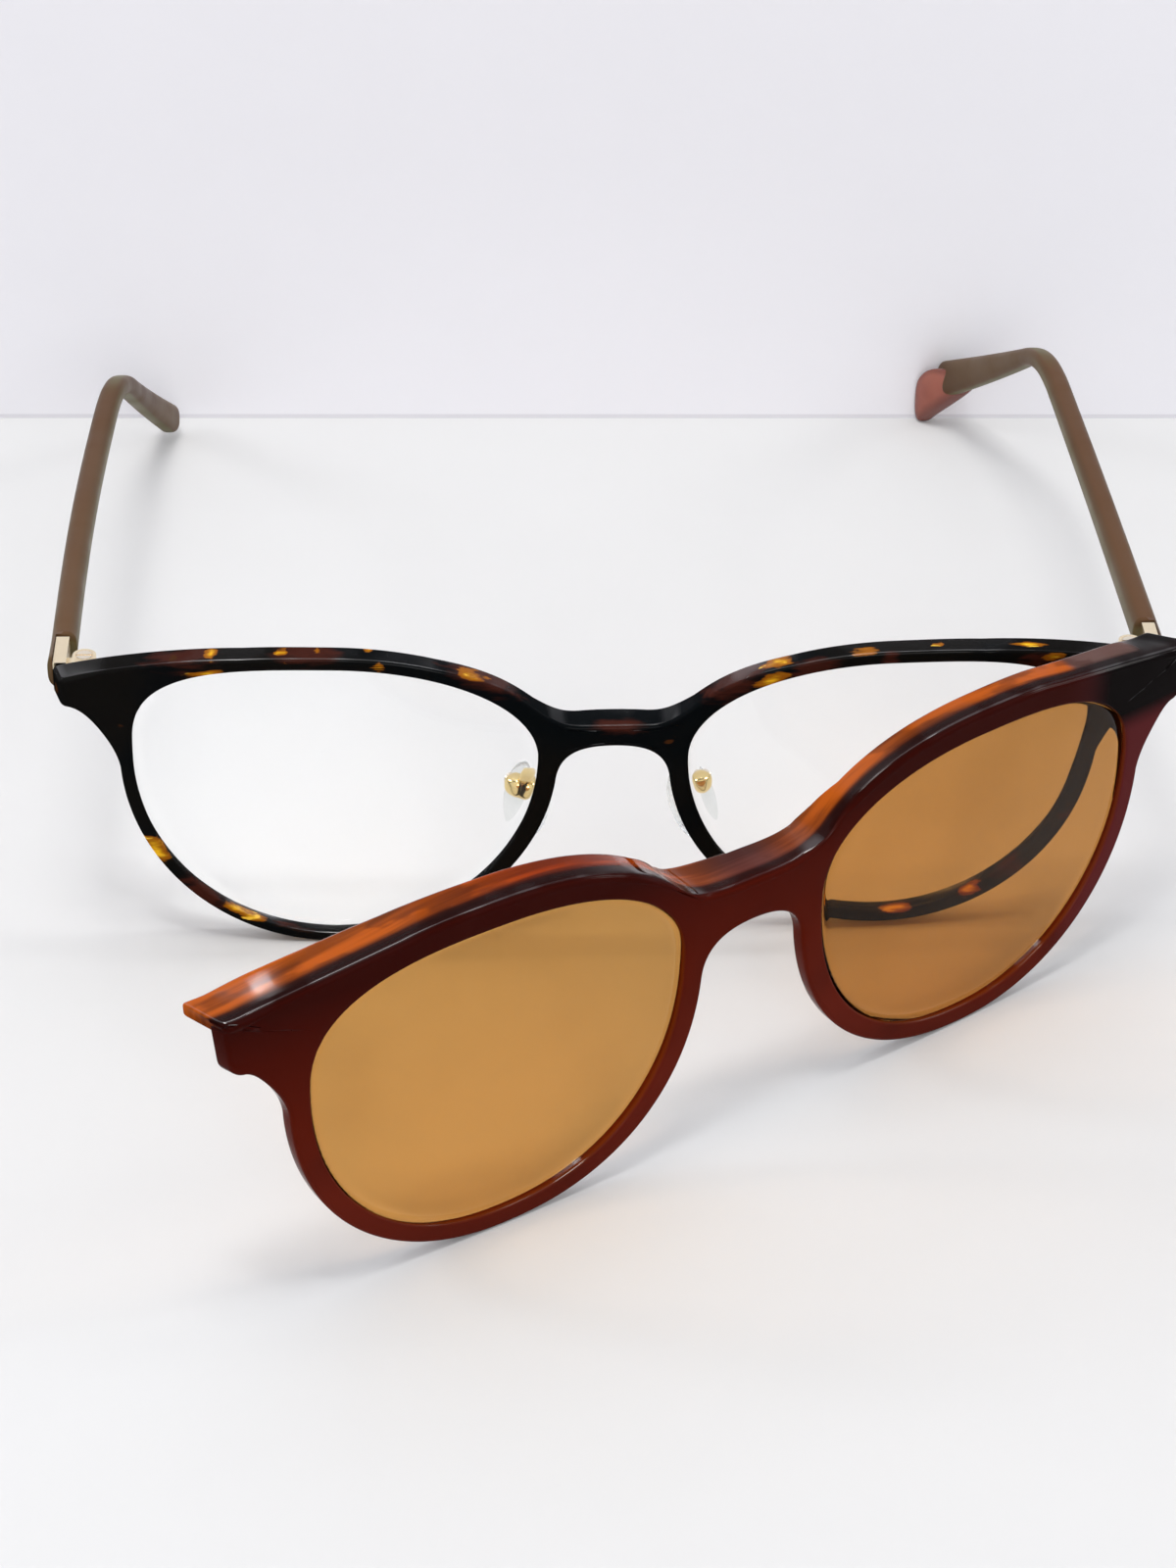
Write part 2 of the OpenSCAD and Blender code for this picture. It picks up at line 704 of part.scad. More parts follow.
// Side view of a temple, cut in by skin all round and shortened at its tip
module temple_side(side, skin, inset, short) {
    line = temple_line(side, inset, short + skin + tip_round);
    last = line[len(line) - 1];
    upper = [for (p = line) [p[0], p[1]] + (p[3] / 2 - skin) * [sin(p[2]), cos(p[2])]];
    lower = [for (p = line) [p[0], p[1]] - (p[3] / 2 - skin) * [sin(p[2]), cos(p[2])]];
    ahead = [cos(last[2]), -sin(last[2])];
    across = [sin(last[2]), cos(last[2])];
    nose = [for (a = [75 : -15 : -75])
        [last[0], last[1]] + (tip_round - 0.3 * skin) * cos(a) * ahead
            + (last[3] / 2 - skin) * power(sin(a), 0.8) * across];
    polygon(concat(upper, nose, reversed(lower)));
}

// Plan of a temple, straight and then curving in towards the head behind the bend
function temple_mid(side, y) =
    let (past = max(0, y - sleeve_y - bend_y + 8))
    block_x - tip_in(side) * past * past / ((drop_y + 8) * (drop_y + 8));

module temple_plan(side, half_w) {
    stations = concat([block_y - 1], [for (i = [0 : 8]) sleeve_y + bend_y - 8 + i * (drop_y + 16) / 8]);
    polygon(concat(
        [for (y = stations) [temple_mid(side, y) + half_w, y]],
        reversed([for (y = stations) [temple_mid(side, y) - half_w, y]])
    ));
}

module side_profile() {
    translate([block_x - slab_depth / 2, 0, 0]) rotate([90, 0, 90]) linear_extrude(height = slab_depth)
        children();
}

module temple_solid(side, skin, inset, short) {
    intersection() {
        side_profile() temple_side(side, skin, inset, short);
        tall() temple_plan(side, temple_w / 2 - skin);
    }
}

// Bare end of the left core, which flares below its sleeve and meets the table
module paddle() {
    tip = tip_end(left);
    end = tip + [paddle_len, 0];
    intersection() {
        difference() {
            side_profile() polygon([
                tip + [-8.5, 3.2], tip + [-1.0, 1.4], end + [-2.3, -1.1], end + [-0.2, -3.4],
                [end[0], 0.9], [end[0] - 0.5, 0.2], [end[0] - 1.2, 0], [end[0] - 2.4, 0.8]
            ]);
            side_profile() temple_side(left, -sleeve_gap, 0, 0);
        }
        translate([-paddle_in, 0, 0]) tall() temple_plan(left, paddle_w / 2);
    }
}

module temple_core(side) {
    color([0.55, 0.2, 0.14, 0.8])
    datum() leant(side) difference() {
        union() {
            temple_solid(side, sleeve_wall + sleeve_gap, root_gap, side == left ? -2 : 0.8);
            if (side == left) paddle();
        }
        tang(side, sleeve_gap);
    }
}

module temple_sleeve(side) {
    color("#6b5140")
    datum() leant(side) difference() {
        temple_solid(side, 0, root_gap - block_len, 0);
        temple_solid(side, sleeve_wall, -0.5, side == left ? -4 : 0.7);
        translate([block_x - temple_w, block_y - 1, hinge_z - 2])
            cube([temple_w + block_w / 2 + root_gap / 2, 1 + block_len + 2 * root_gap, hinge_h + 4]);
    }
}

module swung() {
    translate([swing_x, swing_y, 0]) rotate([0, 0, clip_open]) translate([-swing_x, -swing_y, 0])
        children();
}

module clip_frame() {
    plate_y = -clip_gap - clip_t;
    corner_y = bow(clip_end_x) + plate_y;
    color([0.42, 0.1, 0.05, 0.9])
    datum() swung() difference() {
        union() {
            intersection() {
                upright() clip_outline();
                tall() intersection() {
                    band(plate_y, -clip_gap);
                    plan_end(clip_end_x, corner_y, end_round, end_slant);
                }
            }
            intersection() {
                upright() intersection() {
                    clip_outline();
                    above_front();
                }
                tall() intersection() {
                    union() {
                        difference() {
                            translate([0, plate_y + bow_r]) circle(r = bow_r, $fn = bow_fn);
                            translate([0, ledge_reach + ledge_r]) circle(r = ledge_r, $fn = bow_fn);
                        }
                        bridge_swell(ledge_reach, ledge_back, ledge_half);
                    }
                    plan_end(clip_end_x + ledge_over, corner_y, end_round, ledge_over);
                }
            }
        }
        both_sides() {
            upright() polygon(oval_loop(clip_c, clip_r, clip_bulge));
            lens_ridge(clip_c, clip_r, clip_bulge, clip_middle, lens_gap);
            magnet_block(bow(magnet_x) - clip_gap - clip_magnet_t, clip_magnet_t, magnet_z + clip_rise,
                magnet_gap, 0.6);
        }
    }
}

module clip_lens(side) {
    color([0.72, 0.5, 0.26, 0.6])
    datum() swung() on_side(side) lens_disc(clip_c, clip_r, clip_bulge, clip_middle, clip_lens_t);
}

module clip_magnet(side) {
    color("silver")
    datum() swung() on_side(side)
        magnet_block(bow(magnet_x) - clip_gap - clip_magnet_t, clip_magnet_t, magnet_z + clip_rise, 0, 0);
}

front();
lens(right);  // lens_right
lens(left);  // lens_left
front_magnet(right);  // front_magnet_right
front_magnet(left);  // front_magnet_left
hinge_plate(right);  // hinge_plate_right
hinge_plate(left);  // hinge_plate_left
hinge_rivets(right);  // hinge_rivets_right
hinge_rivets(left);  // hinge_rivets_left
hinge_screw(right);  // hinge_screw_right
hinge_screw(left);  // hinge_screw_left
pad_arm(right);  // pad_arm_right
pad_arm(left);  // pad_arm_left
pad_screw(right);  // pad_screw_right
pad_screw(left);  // pad_screw_left
pad_insert(right);  // pad_insert_right
pad_insert(left);  // pad_insert_left
nose_pad(right);  // nose_pad_right
nose_pad(left);  // nose_pad_left
temple_block(right);  // temple_block_right
temple_block(left);  // temple_block_left
temple_core(right);  // temple_core_right
temple_core(left);  // temple_core_left
temple_sleeve(right);  // temple_sleeve_right
temple_sleeve(left);  // temple_sleeve_left
clip_frame();
clip_lens(right);  // clip_lens_right
clip_lens(left);  // clip_lens_left
clip_magnet(right);  // clip_magnet_right
clip_magnet(left);  // clip_magnet_left
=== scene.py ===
# Eyeglasses with a magnetic clip-on pair of sun lenses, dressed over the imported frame.
# Metres in the frame's axes; lists of shapes are in millimetres, with z counted from the table.
import math

import bmesh
import bpy
import numpy as np
from mathutils import Matrix, Vector


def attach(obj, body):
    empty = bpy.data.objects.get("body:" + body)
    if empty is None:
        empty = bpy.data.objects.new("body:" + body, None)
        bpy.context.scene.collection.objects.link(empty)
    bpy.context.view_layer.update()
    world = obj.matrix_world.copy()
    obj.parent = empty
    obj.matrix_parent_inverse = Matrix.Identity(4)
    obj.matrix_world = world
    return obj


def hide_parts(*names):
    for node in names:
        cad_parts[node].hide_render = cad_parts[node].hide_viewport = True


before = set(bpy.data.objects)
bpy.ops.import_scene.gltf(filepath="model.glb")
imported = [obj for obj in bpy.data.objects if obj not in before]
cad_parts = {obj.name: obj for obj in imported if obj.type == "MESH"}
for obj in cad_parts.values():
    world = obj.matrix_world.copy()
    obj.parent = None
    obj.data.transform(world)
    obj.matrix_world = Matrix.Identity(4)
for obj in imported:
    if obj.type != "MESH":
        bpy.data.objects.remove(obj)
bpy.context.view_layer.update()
scene = bpy.context.scene
scene.view_settings.view_transform = "Standard"

# Camera
# A short telephoto looks down on the glasses from the front, a touch from the right-hand side of the
# wearer, and leans by a degree, as the photograph was taken.
MM = 0.001
table_z = -28.9 * MM
camera_azimuth = math.radians(-3.885)
camera_elevation = math.radians(33.395)
camera_roll = math.radians(1.236)
camera_distance = 464.89 * MM
camera_target = Vector((-3.06 * MM, 0, 23.65 * MM + table_z))

camera_data = bpy.data.cameras.new("photo_camera")
camera_data.sensor_width = 36
camera_data.lens = 86.94
camera_data.clip_start = 0.01
camera_data.clip_end = 10
camera = bpy.data.objects.new("photo_camera", camera_data)
scene.collection.objects.link(camera)
towards_camera = Vector((
    math.sin(camera_azimuth) * math.cos(camera_elevation),
    -math.cos(camera_azimuth) * math.cos(camera_elevation),
    math.sin(camera_elevation),
))
level_right = Vector((math.cos(camera_azimuth), math.sin(camera_azimuth), 0))
level_up = level_right.cross(-towards_camera)
camera_right = level_right * math.cos(camera_roll) + level_up * math.sin(camera_roll)
camera_up = level_up * math.cos(camera_roll) - level_right * math.sin(camera_roll)
turn = Matrix((camera_right, camera_up, towards_camera)).transposed().to_4x4()
camera.matrix_world = Matrix.Translation(camera_target + towards_camera * camera_distance) @ turn
scene.camera = camera


# Table, wall and studio light
# A pale matt table meets a pale wall 140 mm behind the glasses. Soft boxes above and at both sides
# light them; the wall and the table let a camera behind or below them look through.
wall_y, wall_turn = 140.3 * MM, -0.0223
stage_half = 1.6
wall_top = 1.4


def feed(value, target):
    """Links a node's output to an input, or sets the input to a plain value or colour."""
    if isinstance(value, bpy.types.NodeSocket):
        value.id_data.links.new(value, target)
    elif target.type == "RGBA":
        target.default_value = (*value, 1)
    else:
        target.default_value = value


def effect(name, given, made):
    """An empty node group for an effect that several finishes share: its nodes, inputs and outputs."""
    group = bpy.data.node_groups.new(name, "ShaderNodeTree")
    for words, way in ((given, "INPUT"), (made, "OUTPUT")):
        for word, kind in words.items():
            group.interface.new_socket(word, in_out=way, socket_type="NodeSocket" + kind)
    return group.nodes, group.nodes.new("NodeGroupInput").outputs, group.nodes.new("NodeGroupOutput").inputs


def use(nodes, name, **values):
    """Places a shared effect in a material, with that material's own values."""
    node = nodes.new("ShaderNodeGroup")
    node.node_tree = bpy.data.node_groups[name]
    for word, value in values.items():
        feed(value, node.inputs[word])
    return node.outputs


def fresh_material(name):
    """A Principled material with its nodes and shader."""
    made = bpy.data.materials.new(name)
    made.use_nodes = True
    return made, made.node_tree.nodes, made.node_tree.nodes["Principled BSDF"]


def blend_colours(nodes, factor, low, high):
    """A colour between two, each a plain colour or a socket."""
    mix = nodes.new("ShaderNodeMix")
    mix.data_type = "RGBA"
    for word, value in (("Factor", factor), ("A", low), ("B", high)):
        feed(value, mix.inputs[word])
    return mix.outputs["Result"]


nodes, given, made = effect("paper_grain", {"Light": "Color", "Dark": "Color"}, {"Colour": "Color"})
grain = nodes.new("ShaderNodeTexNoise")
feed(90, grain.inputs["Scale"])
feed(blend_colours(nodes, grain.outputs["Fac"], given["Light"], given["Dark"]), made["Colour"])


def seen_one_way(nodes, shader):
    """Shows the paper from its front and nothing from behind."""
    behind = nodes.new("ShaderNodeNewGeometry")
    clear = nodes.new("ShaderNodeBsdfTransparent")
    sides = nodes.new("ShaderNodeMixShader")
    feed(behind.outputs["Backfacing"], sides.inputs["Fac"])
    feed(shader.outputs["BSDF"], sides.inputs[1])
    feed(clear.outputs["BSDF"], sides.inputs[2])
    feed(sides.outputs["Shader"], nodes["Material Output"].inputs["Surface"])


def pale_sheet(name, colour, corners):
    """A flat sheet of matt paper that is only there when seen from its front."""
    sheet = bpy.data.meshes.new(name)
    sheet.from_pydata(corners, [], [(0, 1, 2, 3)])
    paper, nodes, shader = fresh_material(name)
    feed(0.9, shader.inputs["Roughness"])
    feed(0.1, shader.inputs["Specular IOR Level"])
    darker = tuple(c * 0.985 for c in colour)
    feed(use(nodes, "paper_grain", Light=colour, Dark=darker)["Colour"], shader.inputs["Base Color"])
    seen_one_way(nodes, shader)
    sheet.materials.append(paper)
    piece = bpy.data.objects.new(name, sheet)
    scene.collection.objects.link(piece)


foot_left, foot_right = wall_y - wall_turn * stage_half, wall_y + wall_turn * stage_half
pale_sheet("table", (0.695, 0.695, 0.692), [
    (-stage_half, -stage_half, table_z), (stage_half, -stage_half, table_z),
    (stage_half, foot_right, table_z), (-stage_half, foot_left, table_z),
])
pale_sheet("wall", (0.888, 0.88, 0.918), [
    (-stage_half, foot_left, table_z), (stage_half, foot_right, table_z),
    (stage_half, foot_right, wall_top), (-stage_half, foot_left, wall_top),
])
# A thin grey strip along the foot of the wall is painted shade where the wall meets the table.
painted_foot_shade_left, painted_foot_shade_right, painted_foot_shade_top = foot_left - 0.1 * MM, foot_right - 0.1 * MM, table_z + 0.7 * MM
pale_sheet("painted_foot_shade", (0.76, 0.75, 0.79), [
    (-stage_half, painted_foot_shade_left, table_z), (stage_half, painted_foot_shade_right, table_z),
    (stage_half, painted_foot_shade_right, painted_foot_shade_top), (-stage_half, painted_foot_shade_left, painted_foot_shade_top),
])


def soft_box(name, place, aim, width, height, power, colour):
    light = bpy.data.lights.new(name, "AREA")
    light.shape = "RECTANGLE"
    light.size, light.size_y = width, height
    light.energy = power
    light.color = colour
    lamp = bpy.data.objects.new(name, light)
    scene.collection.objects.link(lamp)
    lamp.location = place
    lamp.rotation_mode = "QUATERNION"
    lamp.rotation_quaternion = (Vector(aim) - Vector(place)).to_track_quat("-Z", "Y")


soft_box("box_above", (-0.1, -0.15, 1.0), (0, 0.03, 0), 0.34, 0.3, 3.0, (1, 0.99, 0.97))
soft_box("strip_above", (0.0, 0.1, 0.95), (0, 0.03, 0), 0.8, 0.05, 1.0, (1, 1, 1))
soft_box("box_small", (-0.12, -0.22, 0.8), (0, 0.03, 0), 0.1, 0.06, 0.6, (1, 1, 1))
soft_box("box_left", (-0.8, 0.12, 0.42), (0, 0.03, 0), 0.2, 0.24, 1.8, (0.97, 0.98, 1))
soft_box("box_right", (0.8, 0.1, 0.45), (0, 0.03, 0), 0.2, 0.24, 1.6, (1, 0.98, 0.96))
# A pinpoint lamp that the polished end of the clip mirrors as a small glint.
soft_box("glint", (-0.0949, 0.132, 0.2052), (-0.0419, -0.0653, 0.0135), 0.006, 0.003, 0.0075, (1, 1, 1))
soft_box("box_front", (0.1, -1.1, 0.55), (0, 0.1, 0.05), 0.6, 0.4, 4.2, (1, 1, 1))

# The world is dim, and white only where the camera sees it, directly or through glass.
studio = bpy.data.worlds.new("studio")
studio.use_nodes = True
air = studio.node_tree.nodes
dim = air["Background"]
feed((0.93, 0.95, 1), dim.inputs["Color"])
feed(0.45, dim.inputs["Strength"])
white = air.new("ShaderNodeBackground")
feed((0.96, 0.96, 0.97), white.inputs["Color"])
path = air.new("ShaderNodeLightPath")
seen = air.new("ShaderNodeMath")
seen.operation = "MAXIMUM"
feed(path.outputs["Is Camera Ray"], seen.inputs[0])
feed(path.outputs["Is Transmission Ray"], seen.inputs[1])
choose = air.new("ShaderNodeMixShader")
feed(seen.outputs[0], choose.inputs["Fac"])
feed(dim.outputs[0], choose.inputs[1])
feed(white.outputs[0], choose.inputs[2])
feed(choose.outputs[0], air["World Output"].inputs["Surface"])
scene.world = studio


# Tortoiseshell front
# A slab of dark acetate, 2.9 mm thick, is milled to two round openings, a saddle bridge and two end
# pieces, bowed a little and tumbled until every edge is round. Amber and russet clouds run through it.
bow_r = 930
front_depth = 2.9
end_thick = 0.7
eye_middle = (34.4, 27.2)
eye_radii = (24.2, 25.2, 12.8, 25.8)
eye_bulges = (3.3, 2.05, 1.95, 2.02)
eye_rim_widths = (1.6, 2.4, 1.7, 1.4)
end_x = 68.0
end_top, end_low = 38.3, 34.1
bridge_top, bridge_under = 32.0, 28.9


def bow(x):
    return bow_r - math.sqrt(bow_r * bow_r - x * x)


def oval_point(angle, middle, radii, bulges):
    """Point of an oval whose quarters bulge differently, as the openings were cut."""
    a = math.radians(angle)
    c, s = math.cos(a), math.sin(a)
    e = 2 / bulges[int((angle % 360) // 90)]
    rx = radii[0] if c >= 0 else radii[1]
    rz = radii[2] if s >= 0 else radii[3]
    return np.array([
        middle[0] + rx * math.copysign(abs(c) ** e, c),
        middle[1] + rz * math.copysign(abs(s) ** e, s),
    ])


def oval_normal(angle, middle, radii, bulges):
    ahead = oval_point(angle + 0.6, middle, radii, bulges)
    before = oval_point(angle - 0.6, middle, radii, bulges)
    d = ahead - before
    n = np.array([d[1], -d[0]])
    return n / np.linalg.norm(n)


def pull(p, q, r, s, count):
    """Points of the cubic curve from p to s that q and r pull on."""
    p, q, r, s = (np.array(v, float) for v in (p, q, r, s))
    return [
        (1 - t) ** 3 * p + 3 * (1 - t) ** 2 * t * q + 3 * (1 - t) * t * t * r + t ** 3 * s
        for t in np.linspace(0, 1, count)
    ]


def ease(v):
    v = min(1.0, max(0.0, v))
    return v * v * (3 - 2 * v)


def spread(points, first, last):
    """The points with angles of the opening that they face, spaced as the points are."""
    steps = [0.0] + [float(np.linalg.norm(b - a)) for a, b in zip(points, points[1:])]
    run = np.cumsum(steps)
    return [(p, first + (last - first) * r / run[-1]) for p, r in zip(points, run)]


oval_step = 1.25


def half_edge(top, side, low, heel_r, shape, outer_radii, nose_angle, nose_top):
    """Left half of a front's outline with the opening angle that each point faces, starting and ending
    under the bridge. top is its upper edge, side and low place the end piece's lower corner."""
    middle, bulges = shape
    cheek = oval_point(357, middle, outer_radii, bulges)
    nose = oval_point(nose_angle, middle, outer_radii, bulges)
    corner = [np.array([side - 0.9 + 0.9 * math.sin(a), top[-1][1] - 0.9 + 0.9 * math.cos(a)])
              for a in np.linspace(0.25, math.pi / 2, 6)]
    heel = [np.array([side - heel_r + heel_r * math.cos(a), low + heel_r - heel_r * math.sin(a)])
            for a in np.linspace(0, math.pi / 2, 8)]
    sweep = pull((side - heel_r, low), (side - 3.7, low - 0.5), cheek + (0.7, 4.2), cheek, 26)
    arch = pull(nose, nose + (-0.3, 3.5), (5, nose_top), (0, nose_top), 26)
    rise = [np.array([0.0, z]) for z in np.linspace(nose_top + 0.9, top[0][1] - 0.9, 3)]
    parts = [(np.array([0.0, nose_top]), 176.0)]
    parts += spread(rise, 174.5, 167.5)
    parts += top_angles(top, 166.0)
    parts += spread(corner, 29, 25) + spread(heel, 20, 16)
    parts += spread(sweep, 15, -3)[1:]
    parts += [(oval_point(a, middle, outer_radii, bulges), a)
              for a in np.arange(-3 - oval_step, nose_angle - 360, -oval_step)]
    parts += spread(arch, nose_angle - 360, -184)[:-1]
    return parts


def top_angles(top, first):
    """Angles for the upper edge: they fall to 30 towards the end piece, a little sooner at its middle."""
    run = np.cumsum([0.0] + [float(np.linalg.norm(b - a)) for a, b in zip(top, top[1:])])
    shares = run / run[-1]
    return [(p, first + (30 - first) * (v + 0.1 * math.sin(math.pi * v))) for p, v in zip(top, shares)]


def rounded_ring(edge, shape, radii, front_y, back_y, round_front, round_back, inner_round, slant, drop):
    """One half of a front: a skin round the opening whose four long edges are rounded. front_y and
    back_y give the faces' depths at x, and slant(x, depth) how far a point moves in at the side."""
    middle, bulges = shape
    outline = [p for p, angle in edge]
    count = len(outline)
    rings = []
    for k, (p, angle) in enumerate(edge):
        along = outline[(k + 1) % count] - outline[k - 1]
        normal = np.array([-along[1], along[0]]) / np.linalg.norm(along)
        on_middle = p[0] < 1e-6
        ends = on_middle and (k == 0 or outline[(k + 1) % count][0] > 1e-6)
        if k == 0:
            normal = np.array([0.0, -1.0])
        elif ends:
            normal = np.array([0.0, 1.0])
        elif on_middle:
            normal = np.zeros(2)
        inner = oval_point(angle, middle, radii, bulges)
        rim = oval_normal(angle, middle, radii, bulges)
        p = p - normal * drop(p[0], normal)
        ro, rb, ri = round_front(p), round_back(p), inner_round
        rows = [(inner, "m", 0.5)]
        for f in np.linspace(math.pi / 2, 0, 5):
            rows.append((inner + rim * ri * (1 - math.sin(f)), "f", ri * (1 - math.cos(f))))
        a, b = inner + rim * ri, p - normal * ro
        rows += [(a + (b - a) * t, "f", 0.0) for t in (0.12, 0.35, 0.65, 0.88)]
        for f in np.linspace(0, math.pi / 2, 8):
            rows.append((p - normal * ro * (1 - math.sin(f)), "f", ro * (1 - math.cos(f))))
        rows.append((p, "m", 0.5))
        for f in np.linspace(math.pi / 2, 0, 6):
            rows.append((p - normal * rb * (1 - math.sin(f)), "b", rb * (1 - math.cos(f))))
        a, b = p - normal * rb, inner + rim * ri
        rows += [(a + (b - a) * t, "b", 0.0) for t in (0.15, 0.5, 0.85)]
        for f in np.linspace(0, math.pi / 2, 5):
            rows.append((inner + rim * ri * (1 - math.sin(f)), "b", ri * (1 - math.cos(f))))
        ring = []
        for (x, z), face, d in rows:
            near, far = front_y(x), back_y(x)
            y = near + d if face == "f" else far - d if face == "b" else near + (far - near) * d
            ring.append((x - slant(x, y - near), y, z))
        rings.append(ring)
    return rings


def skin(name, made):
    """Makes a piece of finished mesh work, smooth all over."""
    bmesh.ops.recalc_face_normals(made, faces=made.faces)
    for face in made.faces:
        face.smooth = True
    mesh = bpy.data.meshes.new(name)
    made.to_mesh(mesh)
    made.free()
    piece = bpy.data.objects.new(name, mesh)
    scene.collection.objects.link(piece)
    return piece


def mirrored_skin(name, rings, painted_rim_glow):
    """A closed mesh from one half's rings and its mirror image, joined on the middle plane. Its painted glow,
    a value for each row of a ring, is stored on every point."""
    made = bmesh.new()
    layer = made.verts.layers.float.new("painted_rim_glow")
    for sign in (1, -1):
        grid = [[made.verts.new((sign * x * MM, y * MM, z * MM + table_z)) for x, y, z in ring]
                for ring in rings]
        for row in grid:
            for vert, value in zip(row, painted_rim_glow):
                vert[layer] = value
        rows = len(rings[0])
        for i, ring in enumerate(grid):
            after = grid[(i + 1) % len(grid)]
            for j in range(rows):
                corners = [ring[j], after[j], after[(j + 1) % rows], ring[(j + 1) % rows]]
                if all(abs(v.co.x) < 1e-7 for v in corners):
                    continue
                made.faces.new(corners if sign > 0 else corners[::-1])
    loose = [v for v in made.verts if not v.link_faces]
    bmesh.ops.delete(made, geom=loose, context="VERTS")
    bmesh.ops.remove_doubles(made, verts=made.verts, dist=1e-6)
    return skin(name, made)


eye_outer = [a + b for a, b in zip(eye_radii, eye_rim_widths)]
eye_shape = (eye_middle, eye_bulges)
shoulder = oval_point(117, eye_middle, eye_outer, eye_bulges)
brow = oval_point(77, eye_middle, eye_outer, eye_bulges)
front_top = [np.array([x, bridge_top]) for x in (0.0, 1.4, 2.8)]
front_top += pull((4.2, bridge_top), (9.6, bridge_top), shoulder - (12.2, 2.56), shoulder, 34)
front_top += [oval_point(a, eye_middle, eye_outer, eye_bulges) for a in np.arange(115.75, 77.5, -oval_step)]
front_top += pull(brow, brow + (6.5, -0.1), (end_x - 8, end_top + 2), (end_x - 0.75, end_top + 0.02), 34)
front_edge = half_edge(front_top, end_x, end_low, 0.9, eye_shape, eye_outer, 188, bridge_under)

back_rise = bow(end_x) + end_thick
back_r = (end_x * end_x + back_rise * back_rise) / (2 * back_rise)
saddle_half, saddle_rise = 10.0, 1.5
saddle_r = (saddle_half ** 2 + saddle_rise ** 2) / (2 * saddle_rise)


def front_back(x):
    far = front_depth + back_r - math.sqrt(back_r * back_r - x * x)
    if abs(x) < saddle_half:
        far = max(far, front_depth + saddle_rise - saddle_r + math.sqrt(saddle_r ** 2 - x * x))
    return far


front_rings = rounded_ring(
    front_edge, eye_shape, eye_radii, bow, front_back,
    lambda p: 0.5 + 0.25 * ease((p[0] - 61) / 5) + 0.2 * ease((8 - p[0]) / 4),
    lambda p: 0.4 + 0.2 * ease((8 - p[0]) / 4), 0.3,
    lambda x, d: ease((x - 61) / 7) * 1.1 * (1 - d / (front_depth + end_thick)),
    lambda x, n: 0.0,
)
front = mirrored_skin("tortoise_front", front_rings, [0.0] * 33)


def worn_crooked(piece):
    """Bends one half as the worn frame is bent: the wearer's left rim tips back at its foot by two
    degrees, and its lower outer quarter is squeezed in."""
    rx_out, rx_in, rz_up, rz_down = eye_radii
    for vert in piece.data.vertices:
        x, y, z = vert.co.x / MM, vert.co.y / MM, (vert.co.z - table_z) / MM
        if x < 4:
            continue
        dx, dz = x - eye_middle[0], z - eye_middle[1]
        apart = math.hypot(dx, dz)
        facing = math.degrees(math.atan2(dz, dx))
        quarter = ease((20 - facing) / 35) * ease((facing + 145) / 50)
        rho = math.hypot(dx / (rx_out if dx > 0 else rx_in), dz / (rz_up if dz > 0 else rz_down))
        inward = quarter * (1.3 * min(1.0, rho) ** 2 - 0.9 * min(1.0, max(0.0, rho - 1) / 0.08))
        if apart > 1:
            x, z = x - inward * dx / apart, z - inward * dz / apart
        a = math.radians(2.3) * ease((x - 5) / 18)
        y, z = 2 + (y - 2) * math.cos(a) + (36.5 - z) * math.sin(a), 36.5 - (36.5 - z) * math.cos(a)
        vert.co = (x * MM, y * MM, z * MM + table_z)


def weave_clouds(piece, name, spots):
    """Stores how deep each point lies in the nearest of some clouds of colour. A spot is its place, its
    three half sizes and its tilt in degrees in the plane of the front."""
    mesh = piece.data
    flat = np.empty(len(mesh.vertices) * 3)
    mesh.vertices.foreach_get("co", flat)
    points = flat.reshape(-1, 3) / MM - (0, 0, table_z / MM)
    depth = np.zeros(len(points))
    for (x, y, z), (sx, sy, sz), tilt in spots:
        c, s = math.cos(math.radians(tilt)), math.sin(math.radians(tilt))
        d = points - (x, y, z)
        u, v = d[:, 0] * c + d[:, 2] * s, d[:, 2] * c - d[:, 0] * s
        far = np.sqrt((u / sx) ** 2 + (d[:, 1] / sy) ** 2 + (v / sz) ** 2)
        depth = np.maximum(depth, 1 - 0.5 * far)
    layer = mesh.attributes.new(name, "FLOAT", "POINT")
    layer.data.foreach_set("value", depth.astype(np.float32))


